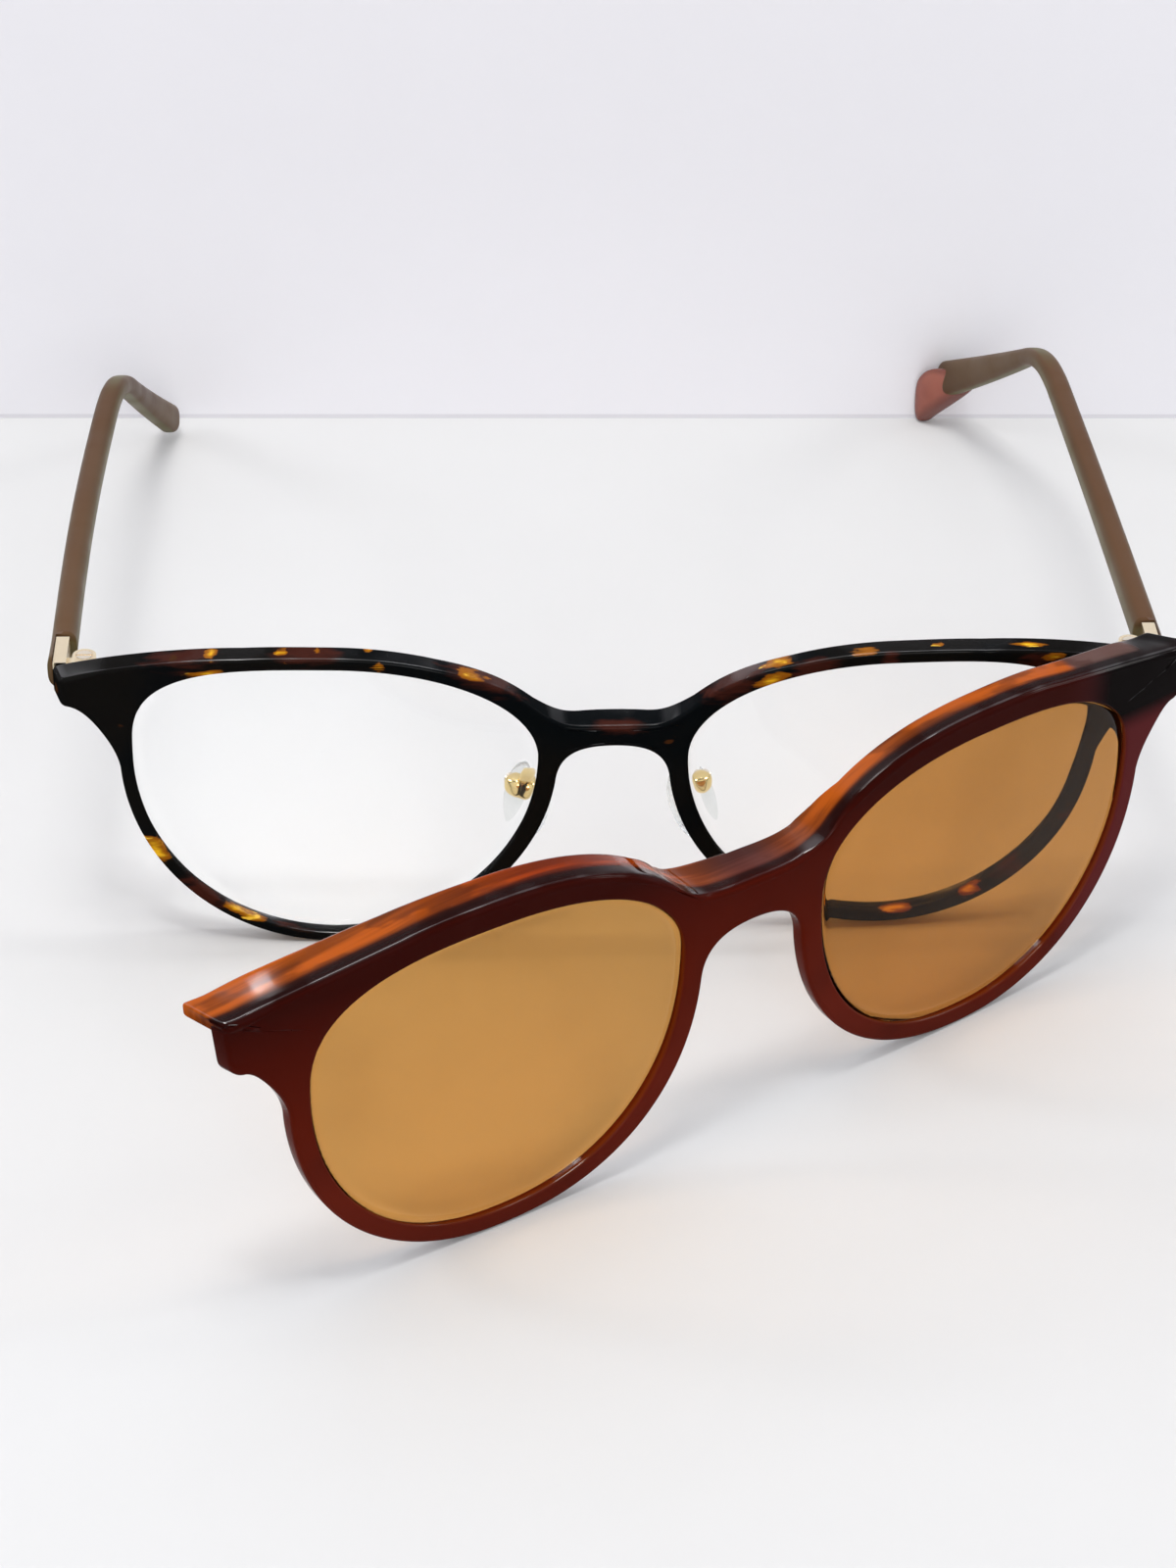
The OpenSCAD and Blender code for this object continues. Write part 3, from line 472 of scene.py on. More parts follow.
weave_clouds(front, "amber", [
    ((-49.4, 0.6, 39.5), (2.7, 1.2, 0.55), 8), ((-48.6, 3.0, 41.2), (0.9, 1.4, 0.9), 0),
    ((-40.2, 2.6, 41.6), (0.9, 0.9, 0.8), 0), ((-39.8, 0.2, 40.8), (0.7, 0.9, 0.5), 0),
    ((-36.2, 3.0, 41.7), (0.6, 0.9, 0.6), 0), ((-29.8, 3.0, 41.3), (0.7, 0.7, 0.6), 0),
    ((-28.6, 0.3, 40.6), (0.7, 1.0, 0.7), 0), ((-17.4, 1.0, 39.7), (3.1, 1.9, 1.0), -24),
    ((-13.6, 2.4, 38.2), (0.9, 0.8, 0.6), -30), ((20.2, 2.2, 40.4), (2.4, 2.2, 0.9), 26),
    ((18.9, 0.2, 38.2), (2.2, 1.2, 0.9), 24), ((30.2, 1.2, 42.0), (2.2, 1.1, 0.7), 4),
    ((39.4, 2.9, 41.8), (0.9, 0.8, 0.7), 0), ((50.4, 3.2, 41.1), (3.4, 0.6, 0.7), -8),
    ((53.6, 1.0, 40.2), (1.6, 0.8, 0.9), 0), ((44.2, 0.2, 40.6), (1.5, 0.6, 0.5), 0),
    ((-56.4, 1.6, 13.8), (1.5, 1.6, 2.0), 30), ((-45.8, 1.6, 4.6), (3.4, 1.3, 0.8), -28),
    ((-33.6, 1.6, 2.4), (0.9, 0.8, 0.5), 0), ((36.5, 1.4, 1.6), (2.0, 1.2, 0.7), 0),
    ((46.0, 1.6, 4.4), (1.8, 1.2, 0.8), 30), ((-20.0, 4.4, 4.6), (1.8, 1.0, 0.9), -40),
    ((14.5, 4.4, 12.0), (1.2, 1.0, 1.8), 0), ((-64.5, 5.8, 36.5), (1.6, 1.0, 1.2), 0),
])
weave_clouds(front, "russet", [
    ((-52.0, 3.0, 40.8), (5.0, 2.0, 1.5), 0), ((-37.0, 2.5, 41.5), (4.2, 2.5, 1.4), 0),
    ((-16.0, 1.5, 39.0), (6.0, 2.5, 2.0), -25), ((0.5, 0.5, 32.0), (3.5, 1.2, 1.2), 0),
    ((14.5, 1.5, 37.5), (4.5, 2.4, 2.0), 30), ((24.0, 0.4, 39.8), (3.0, 1.2, 1.2), 10),
    ((33.5, 0.4, 41.0), (1.2, 0.8, 1.6), 0), ((52.0, 0.6, 39.6), (3.4, 1.2, 2.2), 0),
    ((-50.0, 1.8, 7.5), (4.0, 1.6, 2.0), -35), ((-38.0, 1.5, 2.6), (4.0, 1.2, 1.0), 0),
    ((50.0, 2.0, 9.0), (3.0, 1.6, 3.0), 40), ((20.0, 3.5, 6.0), (3.0, 1.5, 2.5), -40),
])

worn_crooked(front)


def tone(web):
    """The linear colour of a web colour."""
    parts = [int(web[k:k + 2], 16) / 255 for k in (0, 2, 4)]
    return tuple(c / 12.92 if c <= 0.04045 else ((c + 0.055) / 1.055) ** 2.4 for c in parts)


def noise(nodes, vector, scale, detail, stretch=(1, 1, 1)):
    """Smooth noise in object space, stretched along the axes."""
    mapping = nodes.new("ShaderNodeMapping")
    cloud = nodes.new("ShaderNodeTexNoise")
    feed(vector, mapping.inputs["Vector"])
    feed(stretch, mapping.inputs["Scale"])
    feed(mapping.outputs["Vector"], cloud.inputs["Vector"])
    feed(scale, cloud.inputs["Scale"])
    feed(detail, cloud.inputs["Detail"])
    return cloud.outputs["Fac"]


def sharpen(nodes, value, low, high):
    """0 below low and 1 above high, with a soft step between them."""
    step = nodes.new("ShaderNodeMapRange")
    step.interpolation_type = "SMOOTHSTEP"
    for word, given in (("Value", value), ("From Min", low), ("From Max", high)):
        feed(given, step.inputs[word])
    return step.outputs["Result"]


def maths(nodes, operation, *values):
    """The operation on some values, each a number or a socket."""
    node = nodes.new("ShaderNodeMath")
    node.operation = operation
    for place, value in zip(node.inputs, values):
        feed(value, place)
    return node.outputs[0]


def times(nodes, a, b):
    return maths(nodes, "MULTIPLY", a, b)


def stored(nodes, name):
    layer = nodes.new("ShaderNodeAttribute")
    layer.attribute_name = name
    return layer.outputs["Fac"]


# Every acetate piece shares its polish: hair-fine scratches, and patches where fingers dulled it.
nodes, given, made = effect("acetate_polish", {"Vector": "Vector", "Smooth": "Float", "Dull": "Float"},
                            {"Roughness": "Float", "Height": "Float"})
rub_range = nodes.new("ShaderNodeMapRange")
for word, value in (("Value", noise(nodes, given["Vector"], 160, 5)), ("From Min", 0.35),
                    ("From Max", 0.75), ("To Min", given["Smooth"]), ("To Max", given["Dull"])):
    feed(value, rub_range.inputs[word])
feed(rub_range.outputs["Result"], made["Roughness"])
hair, swell = noise(nodes, given["Vector"], 900, 3), noise(nodes, given["Vector"], 70, 1)
feed(maths(nodes, "MULTIPLY_ADD", hair, 0.06, swell), made["Height"])

# Its gloss sits where the surface turns from its front to its top, with dull gaps; it is weak on flats.
nodes, given, made = effect("crease_gloss", {"Vector": "Vector"}, {"Gloss": "Float"})
aim = nodes.new("ShaderNodeVectorTransform")
aim.vector_type = "NORMAL"
aim.convert_from, aim.convert_to = "WORLD", "OBJECT"
feed(nodes.new("ShaderNodeNewGeometry").outputs["Normal"], aim.inputs["Vector"])
facing = nodes.new("ShaderNodeSeparateXYZ")
feed(aim.outputs["Vector"], facing.inputs["Vector"])
upward = facing.outputs["Z"]
weight = maths(nodes, "ADD", times(nodes, sharpen(nodes, upward, 0.2, 0.5), 0.1),
               times(nodes, sharpen(nodes, upward, 0.8, 0.87), 0.9))
weight = maths(nodes, "SUBTRACT", weight, times(nodes, sharpen(nodes, upward, 0.93, 0.985), 0.88))
gap = sharpen(nodes, noise(nodes, given["Vector"], 110, 2), 0.44, 0.56)
feed(times(nodes, weight, maths(nodes, "MULTIPLY_ADD", gap, 0.75, 0.25)), made["Gloss"])


def polished(nodes, shader, smooth, dull, bump):
    """Gives a shader the acetate polish. Returns the object coordinates that it uses."""
    place = nodes.new("ShaderNodeTexCoord").outputs["Object"]
    finish = use(nodes, "acetate_polish", Vector=place, Smooth=smooth, Dull=dull)
    ripple = nodes.new("ShaderNodeBump")
    feed(bump, ripple.inputs["Strength"])
    feed(0.0002, ripple.inputs["Distance"])
    feed(finish["Height"], ripple.inputs["Height"])
    feed(finish["Roughness"], shader.inputs["Roughness"])
    feed(ripple.outputs["Normal"], shader.inputs["Normal"])
    return place


def glossy_creases(nodes, shader, place):
    """Gives a shader the glossy creases, as a hard clear coat."""
    feed(0.04, shader.inputs["Coat Roughness"])
    feed(1.7, shader.inputs["Coat IOR"])
    feed(use(nodes, "crease_gloss", Vector=place)["Gloss"], shader.inputs["Coat Weight"])


tortoise, nodes, shader = fresh_material("tortoiseshell_acetate")
feed(0.0, shader.inputs["Specular IOR Level"])
place = polished(nodes, shader, 0.05, 0.14, 0.06)
glossy_creases(nodes, shader, place)
ragged = noise(nodes, place, 750, 4, (0.35, 1, 1.6))
torn = maths(nodes, "MULTIPLY_ADD", ragged, 0.9, -0.45)
amber_field = maths(nodes, "ADD", stored(nodes, "amber"), torn)
russet_field = maths(nodes, "ADD", stored(nodes, "russet"), torn)
specks = noise(nodes, place, 240, 2, (1, 0.6, 1.6))
amber_mask = sharpen(nodes, amber_field, 0.46, 0.58)
russet_mask = sharpen(nodes, russet_field, 0.4, 0.75)
loose_mask = sharpen(nodes, specks, 0.69, 0.75)
core_of_amber = sharpen(nodes, amber_field, 0.6, 0.95)
amber_tone = blend_colours(nodes, core_of_amber, (0.28, 0.09, 0.006), (0.85, 0.47, 0.015))
amber_tone = blend_colours(nodes, sharpen(nodes, ragged, 0.62, 0.7), amber_tone, (0.9, 0.58, 0.06))
base = blend_colours(nodes, sharpen(nodes, noise(nodes, place, 60, 2), 0.4, 0.6),
                     (0.0032, 0.0042, 0.005), (0.006, 0.0055, 0.005))
base = blend_colours(nodes, russet_mask, base, (0.045, 0.012, 0.008))
base = blend_colours(nodes, loose_mask, base, (0.05, 0.018, 0.006))
base = blend_colours(nodes, amber_mask, base, amber_tone)
feed(base, shader.inputs["Base Color"])
front.data.materials.append(tortoise)
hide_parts("front")
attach(front, "frame")


# Clear lenses
# Each is a clear plastic lens, 1.6 mm thick and slightly domed. Its edge sits in the groove of the rim.
def domed_lens(name, middle, radii, bulges, mid_y, thick, dome, side, out):
    """A lens round whose edge the front's groove closes; dome is how far its middle stands forward."""
    turns, shells = 120, 14
    wider = [r + out for r in radii]
    edge = [oval_point(360 * i / turns, middle, wider, bulges) for i in range(turns)]
    made = bmesh.new()

    def spot(p, share, offset):
        x, z = np.array(middle) + (p - np.array(middle)) * share
        y = mid_y + bow(x) + offset - dome * (1 - share * share)
        return made.verts.new((side * x * MM, y * MM, z * MM + table_z))

    rims = []
    for offset in (-thick / 2, thick / 2):
        hub = spot(edge[0], 0.0, offset)
        rows = [[spot(p, k / shells, offset) for p in edge] for k in range(1, shells + 1)]
        for i in range(turns):
            n = (i + 1) % turns
            made.faces.new((hub, rows[0][i], rows[0][n]))
            for a, b in zip(rows, rows[1:]):
                made.faces.new((a[i], b[i], b[n], a[n]))
        rims.append(rows[-1])
    near, far = rims
    for i in range(turns):
        n = (i + 1) % turns
        made.faces.new((near[i], near[n], far[n], far[i]))
    return skin(name, made)


# Every lens has faint smears where fingers or a cloth touched it.
nodes, given, made = effect("finger_smear", {"Vector": "Vector"}, {"Smear": "Float"})
feed(sharpen(nodes, noise(nodes, given["Vector"], 45, 3), 0.45, 0.75), made["Smear"])


def lamp_light_through(nodes, shader, tint):
    """Lets lamp light pass the glass, tinted, as it does through a thin lens."""
    way = nodes.new("ShaderNodeLightPath")
    clear = nodes.new("ShaderNodeBsdfTransparent")
    feed(tint, clear.inputs["Color"])
    mix = nodes.new("ShaderNodeMixShader")
    feed(way.outputs["Is Shadow Ray"], mix.inputs["Fac"])
    feed(shader.outputs["BSDF"], mix.inputs[1])
    feed(clear.outputs["BSDF"], mix.inputs[2])
    feed(mix.outputs["Shader"], nodes["Material Output"].inputs["Surface"])


def lens_glass(name, ior, rough, clean, smeared, lamp_tint):
    """Lens plastic that is a little duller and darker where it is smeared."""
    made, nodes, shader = fresh_material(name)
    feed(1, shader.inputs["Transmission Weight"])
    feed(ior, shader.inputs["IOR"])
    smear = use(nodes, "finger_smear", Vector=nodes.new("ShaderNodeTexCoord").outputs["Object"])["Smear"]
    feed(times(nodes, smear, rough), shader.inputs["Roughness"])
    feed(blend_colours(nodes, smear, clean, smeared), shader.inputs["Base Color"])
    lamp_light_through(nodes, shader, lamp_tint)
    return made


clear_lens = lens_glass("clear_lens", 1.25, 0.025, (0.995, 1.0, 1.0), (0.985, 0.99, 0.992),
                        (0.97, 0.98, 0.98))
for side, word in ((1, "left"), (-1, "right")):
    lens = domed_lens("clear_lens_" + word, eye_middle, eye_radii, eye_bulges, 1.55, 1.3, 0.45, side, 0.3)
    worn_crooked(lens)
    lens.data.materials.append(clear_lens)
    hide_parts("lens_" + word)
    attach(lens, "frame")


# Small metal: hinge plates, rivets, screws and magnets
# The plates and blocks are stamped and tumbled nickel silver with a rose gold flash; rivets and screws
# are brighter, and the magnets are nickel plated. They are let into the acetate.
# All of it shares the wear of its plating: thin along edges and in fine scratches.
nodes, given, made = effect("plating_wear", {"Vector": "Vector", "Edge": "Float"},
                            {"Worn": "Float", "Cloud": "Float"})
scratch = noise(nodes, given["Vector"], 1500, 4, (0.15, 1, 1))
rim = sharpen(nodes, nodes.new("ShaderNodeNewGeometry").outputs["Pointiness"], 0.52, 0.6)
feed(maths(nodes, "MAXIMUM", times(nodes, rim, given["Edge"]), times(nodes, scratch, 0.35)), made["Worn"])
feed(noise(nodes, given["Vector"], 350, 3), made["Cloud"])


def worn_metal(name, colour, worn, smooth, dull, edge):
    """Plated metal; edge is how bare its edges are."""
    made, nodes, shader = fresh_material(name)
    feed(1, shader.inputs["Metallic"])
    place = polished(nodes, shader, smooth, dull, 0.1)
    wear = use(nodes, "plating_wear", Vector=place, Edge=edge)
    plating = blend_colours(nodes, wear["Cloud"], colour, tuple(c * 0.86 for c in colour))
    feed(blend_colours(nodes, wear["Worn"], plating, worn), shader.inputs["Base Color"])
    return made


rose_gold = worn_metal("rose_gold_flash", (0.8, 0.61, 0.36), (0.9, 0.79, 0.58), 0.2, 0.36, 0.8)
bright_screw = worn_metal("bright_screw", (0.78, 0.6, 0.34), (0.86, 0.8, 0.7), 0.14, 0.3, 0.8)
nickel = worn_metal("nickel_plate", (0.62, 0.6, 0.57), (0.75, 0.74, 0.72), 0.16, 0.3, 0.6)


def dress(node, material, width):
    """A metal piece of the frame keeps its shape, with its edges broken, and gets its finish."""
    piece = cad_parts[node]
    for slot in piece.material_slots:
        slot.material = material
    if not piece.material_slots:
        piece.data.materials.append(material)
    broken = piece.modifiers.new("broken_edges", "BEVEL")
    broken.width = width * MM
    broken.segments = 2
    broken.limit_method = "ANGLE"
    broken.angle_limit = math.radians(40)
    broken.use_clamp_overlap = True


for word in ("left", "right"):
    for node, metal, broken_edge in (
        ("hinge_plate_", rose_gold, 0.08), ("hinge_rivets_", bright_screw, 0.06),
        ("hinge_screw_", bright_screw, 0.05), ("temple_block_", rose_gold, 0.1),
        ("front_magnet_", nickel, 0.06), ("clip_magnet_", nickel, 0.06),
        ("pad_screw_", bright_screw, 0.05),
    ):
        dress(node + word, metal, broken_edge)


# Temples
# Each is a red-brown core in a soft taupe sleeve, 3.2 mm wide, oval in section and dipped towards a
# rounded tip that bends down behind the ear. A thin lip of the sleeve covers the outside of the block.
hinge_pin = (64.2, 8.189)
block_x, sleeve_y, temple_z = 67.1, 12.489, 36.2
temple_end = 136.99
temple_half_width = 1.6
front_height, bend_height = 4.2, 2.6
tip_radius, tip_middle = 1.9, 1.8
lip_front, lip_inner, lip_root = 6.7, 68.0, 12.85
temple_shapes = {
    "left": {"side": 1, "slope": 3.3, "raised": 5.9, "lean": -1.0, "curl": 8.8, "bend": 87.5, "round": 26,
             "tail": 5.6},
    "right": {"side": -1, "slope": 5.2, "raised": 0.3, "lean": 1.0, "curl": 5.1, "bend": 88.2, "round": 32,
              "tail": 4.4},
}


def temple_stations(shape):
    """Side view of a temple: y, z, downward angle and height at close steps from lip to tip."""
    slope, bend_from, bend_radius = shape["slope"], shape["bend"], shape["round"]
    tip_height, back = shape["tail"], math.radians(slope)
    bend = np.array([sleeve_y + bend_from, temple_z - bend_from * math.tan(back)])
    tip = np.array([temple_end, tip_middle + shape["raised"]])
    steep = math.degrees(math.atan2(bend[1] - tip[1], tip[0] - bend[0]))
    turned = steep - slope
    ahead = np.array([math.cos(back), -math.sin(back)])
    start = bend - bend_radius * math.tan(math.radians(turned / 2)) * ahead
    hub = start - bend_radius * np.array([math.sin(back), math.cos(back)])
    stations = []
    for y in (*np.linspace(lip_front, lip_root, 9), *np.linspace(lip_root + 0.02, start[0], 90)):
        share = max(0.0, (y - sleeve_y) / (start[0] - sleeve_y))
        z = temple_z - (y - sleeve_y) * math.tan(back)
        stations.append((y, z, slope, front_height + (bend_height - front_height) * share))
    for k in range(1, 16):
        a = slope + turned * k / 15
        s, c = math.sin(math.radians(a)), math.cos(math.radians(a))
        stations.append((hub[0] + bend_radius * s, hub[1] + bend_radius * c, a, bend_height))
    s, c = math.sin(math.radians(steep)), math.cos(math.radians(steep))
    here = np.array(stations[-1][:2])
    whole = float(np.linalg.norm(tip - bend)) - tip_radius - float(np.linalg.norm(here - bend))
    for k in range(1, 31):
        run = whole * k / 30
        grown = bend_height + (tip_height - bend_height) * k / 30
        stations.append((here[0] + run * c, here[1] - run * s, steep, grown))
    last = stations[-1]
    for a in np.linspace(9, 90, 11):
        f = math.sin(math.radians(a))
        left = max(0.03, math.cos(math.radians(a)))
        stations.append((last[0] + tip_radius * f * c, last[1] - tip_radius * f * s, steep,
                         tip_height * left ** 0.8))
    return stations


def swept(name, rings, bands):
    """A closed tube through rings of points, with flat ends. bands are floats stored per point."""
    made = bmesh.new()
    layers = {band: made.verts.layers.float.new(band) for band in bands}
    grid = []
    for ring, values in rings:
        row = []
        for k, (x, y, z) in enumerate(ring):
            vert = made.verts.new((x * MM, y * MM, z * MM + table_z))
            for band, layer in layers.items():
                vert[layer] = values[band][k]
            row.append(vert)
        grid.append(row)
    around = len(grid[0])
    for a, b in zip(grid, grid[1:]):
        for k in range(around):
            made.faces.new((a[k], a[(k + 1) % around], b[(k + 1) % around], b[k]))
    made.faces.new(grid[0][::-1])
    made.faces.new(grid[-1])
    return skin(name, made)


def leant(x, y, shape):
    """A point of a temple turned about its hinge pin by the lean, and put on its side."""
    a = math.radians(shape["lean"])
    dx, dy = x - hinge_pin[0], y - hinge_pin[1]
    return (shape["side"] * (hinge_pin[0] + dx * math.cos(a) - dy * math.sin(a)),
            hinge_pin[1] + dx * math.sin(a) + dy * math.cos(a))


def temple_middle(y, curl):
    """The sleeve runs straight back from its block, bellies out, and curls in towards its tip."""
    past = max(0.0, y - 88) / 49
    belly = (0.15 if curl > 7 else 0.7) * math.sin(math.pi * min(1, max(0, y - 13) / 84))
    return block_x + belly - curl * past ** 1.7


def sleeve_rings(shape):
    """Rings of a sleeve: a superellipse swept from the lip to the rounded tip."""
    stations = temple_stations(shape)
    rings = []
    around = 40
    for k, (y, z, angle, height) in enumerate(stations):
        near_tip = len(stations) - 1 - k
        narrow = 1.0
        if near_tip < 11:
            f = math.radians(90 - 9 * near_tip * 0.9)
            narrow = max(0.03, math.cos(f)) ** 0.7
        near_lip = ease((y - lip_front + 0.25) / 0.5)
        ring, across, outer = [], [], []
        for i in range(around):
            t = 2 * math.pi * i / around
            c, s = math.cos(t), math.sin(t)
            u = math.copysign(abs(c) ** (2 / 2.9), c) * temple_half_width * narrow
            v = math.copysign(abs(s) ** (2 / 2.7), s) * height / 2
            u, v = u * (0.86 + 0.14 * near_lip), v * (0.9 + 0.1 * near_lip)
            a = math.radians(angle)
            py, pz = y + v * math.sin(a), z + v * math.cos(a)
            px = temple_middle(y, shape["curl"]) + u
            if y <= lip_root:
                px = max(px, lip_inner)
            px, py = leant(px, py, shape)
            ring.append((px, py, pz))
            across.append(v / (height / 2))
            outer.append(u / temple_half_width)
        total = stations[-1][0] - sleeve_y
        along = [(y - sleeve_y) / total] * around
        end = [max(0.0, 1 - near_tip / 16)] * around
        rings.append((ring, {"across": across, "outer": outer, "along": along, "tip": end}))
    return rings


# Both sleeves share their dye and a painted sheen: a red-brown band along the middle and olive edges on the
# straight part, a paler inner side there that is partly painted highlight, and a brown tail with an olive
# rim.
nodes, given, made = effect("sleeve_dye_and_sheen", {"Vector": "Vector", "Red": "Float", "Band": "Float",
                                           "Side": "Float"}, {"Colour": "Color"})
outer = stored(nodes, "outer")
wander = noise(nodes, given["Vector"], 55, 3, (1, 0.35, 1))
width = maths(nodes, "ABSOLUTE", maths(nodes, "ADD", outer, maths(nodes, "MULTIPLY_ADD", wander, 0.5, -0.25)))
band = maths(nodes, "SUBTRACT", 1.0, sharpen(nodes, width, given["Band"], 0.9))
tail = sharpen(nodes, stored(nodes, "along"), 0.62, 0.72)
straight = maths(nodes, "SUBTRACT", 1.0, tail)
edge = times(nodes, sharpen(nodes, width, given["Side"], 1.03), straight)
# The paler inner side is partly its olive tone and partly a painted highlight.
inner = times(nodes, sharpen(nodes, times(nodes, outer, -1.0), 0.9, 1.0), straight)
rim = times(nodes, sharpen(nodes, maths(nodes, "ABSOLUTE", stored(nodes, "across")), 0.9, 1.0), tail)
pale = sharpen(nodes, stored(nodes, "tip"), 0.7, 0.98)
dye_and_sheen = blend_colours(nodes, sharpen(nodes, wander, 0.35, 0.7), tone("513a25"), tone("5f4a33"))
for share, strength, web in ((band, given["Red"], "5c3f29"), (edge, 0.5, "5b5535"), (inner, 0.35, "746d4f"),
                             (rim, 0.8, "5f5b3a"), (pale, 0.12, "8f8f78")):
    dye_and_sheen = blend_colours(nodes, times(nodes, share, strength), dye_and_sheen, tone(web))
feed(dye_and_sheen, made["Colour"])


def taupe_sleeve(word, **shares):
    """Satin taupe sleeve; shares are how red its band is, and where the band and the edges begin."""
    made, nodes, shader = fresh_material("taupe_sleeve_" + word)
    feed(0.05, shader.inputs["Specular IOR Level"])
    place = polished(nodes, shader, 0.3, 0.45, 0.02)
    feed(use(nodes, "sleeve_dye_and_sheen", Vector=place, **shares)["Colour"], shader.inputs["Base Color"])
    return made


sleeve_finish = {
    "left": taupe_sleeve("left", Red=0.75, Band=0.4, Side=0.86),
    "right": taupe_sleeve("right", Red=0.55, Band=0.15, Side=0.7),
}
for word, shape in temple_shapes.items():
    sleeve = swept("sleeve_" + word, sleeve_rings(shape), ("across", "outer", "along", "tip"))
    sleeve.data.materials.append(sleeve_finish[word])
    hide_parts("temple_sleeve_" + word, "temple_core_" + word)
    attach(sleeve, "temple_" + word)


# Bare tip of the left core
# The core runs out of the left sleeve as a red-brown translucent paddle that hooks down to the table.
paddle_half, paddle_outset = 1.2, 1.5
paddle_loop = [
    (128.9, 12.3), (132.1, 11.6), (135.2, 10.6), (137.2, 8.8), (138.5, 6.4), (138.8, 3.4),
    (138.5, 0.8), (137.7, 0.05), (136.5, 1.4), (133.5, 5.2), (130.5, 9.3),
]


def curve_through(points, steps, closed):
    """Points on the smooth curve through the given ones, with steps between each two."""
    points = [np.array(p, float) for p in points]
    if closed:
        knots = points[-1:] + points + points[:2]
    else:
        knots = [2 * points[0] - points[1]] + points + [2 * points[-1] - points[-2]]
    made = []
    for a, b, c, d in zip(knots, knots[1:], knots[2:], knots[3:]):
        for t in np.arange(steps) / steps:
            made.append(0.5 * (2 * b + (c - a) * t + (2 * a - 5 * b + 4 * c - d) * t * t
                               + (3 * b - a - 3 * c + d) * t ** 3))
    return made if closed else made + points[-1:]


left_shape = temple_shapes["left"]
paddle_outline = curve_through(paddle_loop, 6, True)
heart = np.array([135.4, 7.6])
core_rings = []
for place_x, shrink in (
    (-1.0, 0.12), (-1.0, 0.45), (-0.98, 0.75), (-0.93, 0.88), (-0.8, 0.95), (-0.55, 0.985), (-0.2, 1.0),
    (0.2, 1.0), (0.55, 0.985), (0.8, 0.95), (0.93, 0.88), (0.98, 0.75), (1.0, 0.45), (1.0, 0.12),
):
    ring, across = [], []
    for p in paddle_outline:
        y, z = heart + (p - heart) * shrink
        z = max(z, 0.0)
        aside = paddle_outset - 4.1 * ease((y - 128) / 11)
        px, py = leant(temple_middle(y, left_shape["curl"]) + aside + place_x * paddle_half, y, left_shape)
        ring.append((px, py, z))
        across.append(shrink)
    core_rings.append((ring, {"across": across}))
paddle = swept("core_tip_left", core_rings, ("across",))
red_core, nodes, shader = fresh_material("red_core")
feed(0.5, shader.inputs["Specular IOR Level"])
feed(0.1, shader.inputs["Subsurface Weight"])
feed(0.002, shader.inputs["Subsurface Scale"])
place = polished(nodes, shader, 0.12, 0.25, 0.1)
rim_dark = sharpen(nodes, stored(nodes, "across"), 0.5, 1.0)
cloudy = sharpen(nodes, noise(nodes, place, 120, 3), 0.35, 0.7)
base = blend_colours(nodes, cloudy, tone("98523f"), tone("823f2e"))
base = blend_colours(nodes, times(nodes, rim_dark, 0.7), base, tone("5a2a22"))
feed(base, shader.inputs["Base Color"])
paddle.data.materials.append(red_core)
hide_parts("temple_core_left")
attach(paddle, "temple_left")


# Nose pads
# Moulded clear silicone, like a flat pebble 12.8 mm long, pushed over a gilt insert whose lug turns on
# the screw in the arm's box.
pad_place = (11.2, 8.0, 18.8)
pad_turn = 48
pad_tilt = {1: (-17, -15), -1: (-6, -12)}
pad_half = (3.7, 5.2, 6.3)
pad_thick, pad_face, pad_centre = 2.0, 3.65, -3.3


def lug_matrix(side):
    """The upright axes of a pad's lug, turned about the screw."""
    return (Matrix.Diagonal((side, 1, 1, 1)) @ Matrix.Translation(Vector(pad_place))
            @ Matrix.Rotation(math.radians(pad_turn), 4, "Z"))


def pad_matrix(side):
    """The axes of the pad itself, which flares and leans on its lug."""
    flare, lean = pad_tilt[side]
    return (lug_matrix(side)
            @ (Matrix.Rotation(math.radians(lean), 4, "Y") @ Matrix.Rotation(math.radians(flare), 4, "X")))


silicone, nodes, shader = fresh_material("clear_silicone")
feed(1, shader.inputs["Transmission Weight"])
feed(1.41, shader.inputs["IOR"])
place = nodes.new("ShaderNodeTexCoord").outputs["Object"]
flow = sharpen(nodes, noise(nodes, place, 260, 2), 0.35, 0.7)
feed(times(nodes, flow, 0.08), shader.inputs["Roughness"])
feed(blend_colours(nodes, flow, (0.9, 0.92, 0.91), (0.8, 0.83, 0.82)), shader.inputs["Base Color"])
lamp_light_through(nodes, shader, (0.9, 0.92, 0.92))
gilt = worn_metal("gilt", (0.83, 0.62, 0.25), (0.93, 0.8, 0.5), 0.1, 0.22, 0.7)
insert_gilt = worn_metal("insert_gilt", (0.5, 0.45, 0.36), (0.6, 0.55, 0.45), 0.3, 0.45, 0.5)


def pebble(name, matrix, middle, half, thick, bulges, layers):
    """A closed cushion shape: an oval with half = (width, up, down), thick along y."""
    rings = []
    for lift in np.linspace(-math.pi / 2 + 0.06, math.pi / 2 - 0.06, layers):
        wide = math.cos(lift) ** (2 / bulges[0])
        depth = math.copysign(abs(math.sin(lift)) ** (2 / bulges[1]), lift) * thick / 2
        ring = []
        for i in range(48):
            t = 2 * math.pi * i / 48
            c, s = math.cos(t), math.sin(t)
            x = math.copysign(abs(c) ** (2 / bulges[2]), c) * half[0] * wide
            z = math.copysign(abs(s) ** (2 / bulges[2]), s) * (half[1] if s > 0 else half[2]) * wide
            ring.append(tuple(matrix @ Vector((x + middle[0], middle[1] + depth, z + middle[2]))))
        rings.append((ring, {}))
    return swept(name, rings, ())


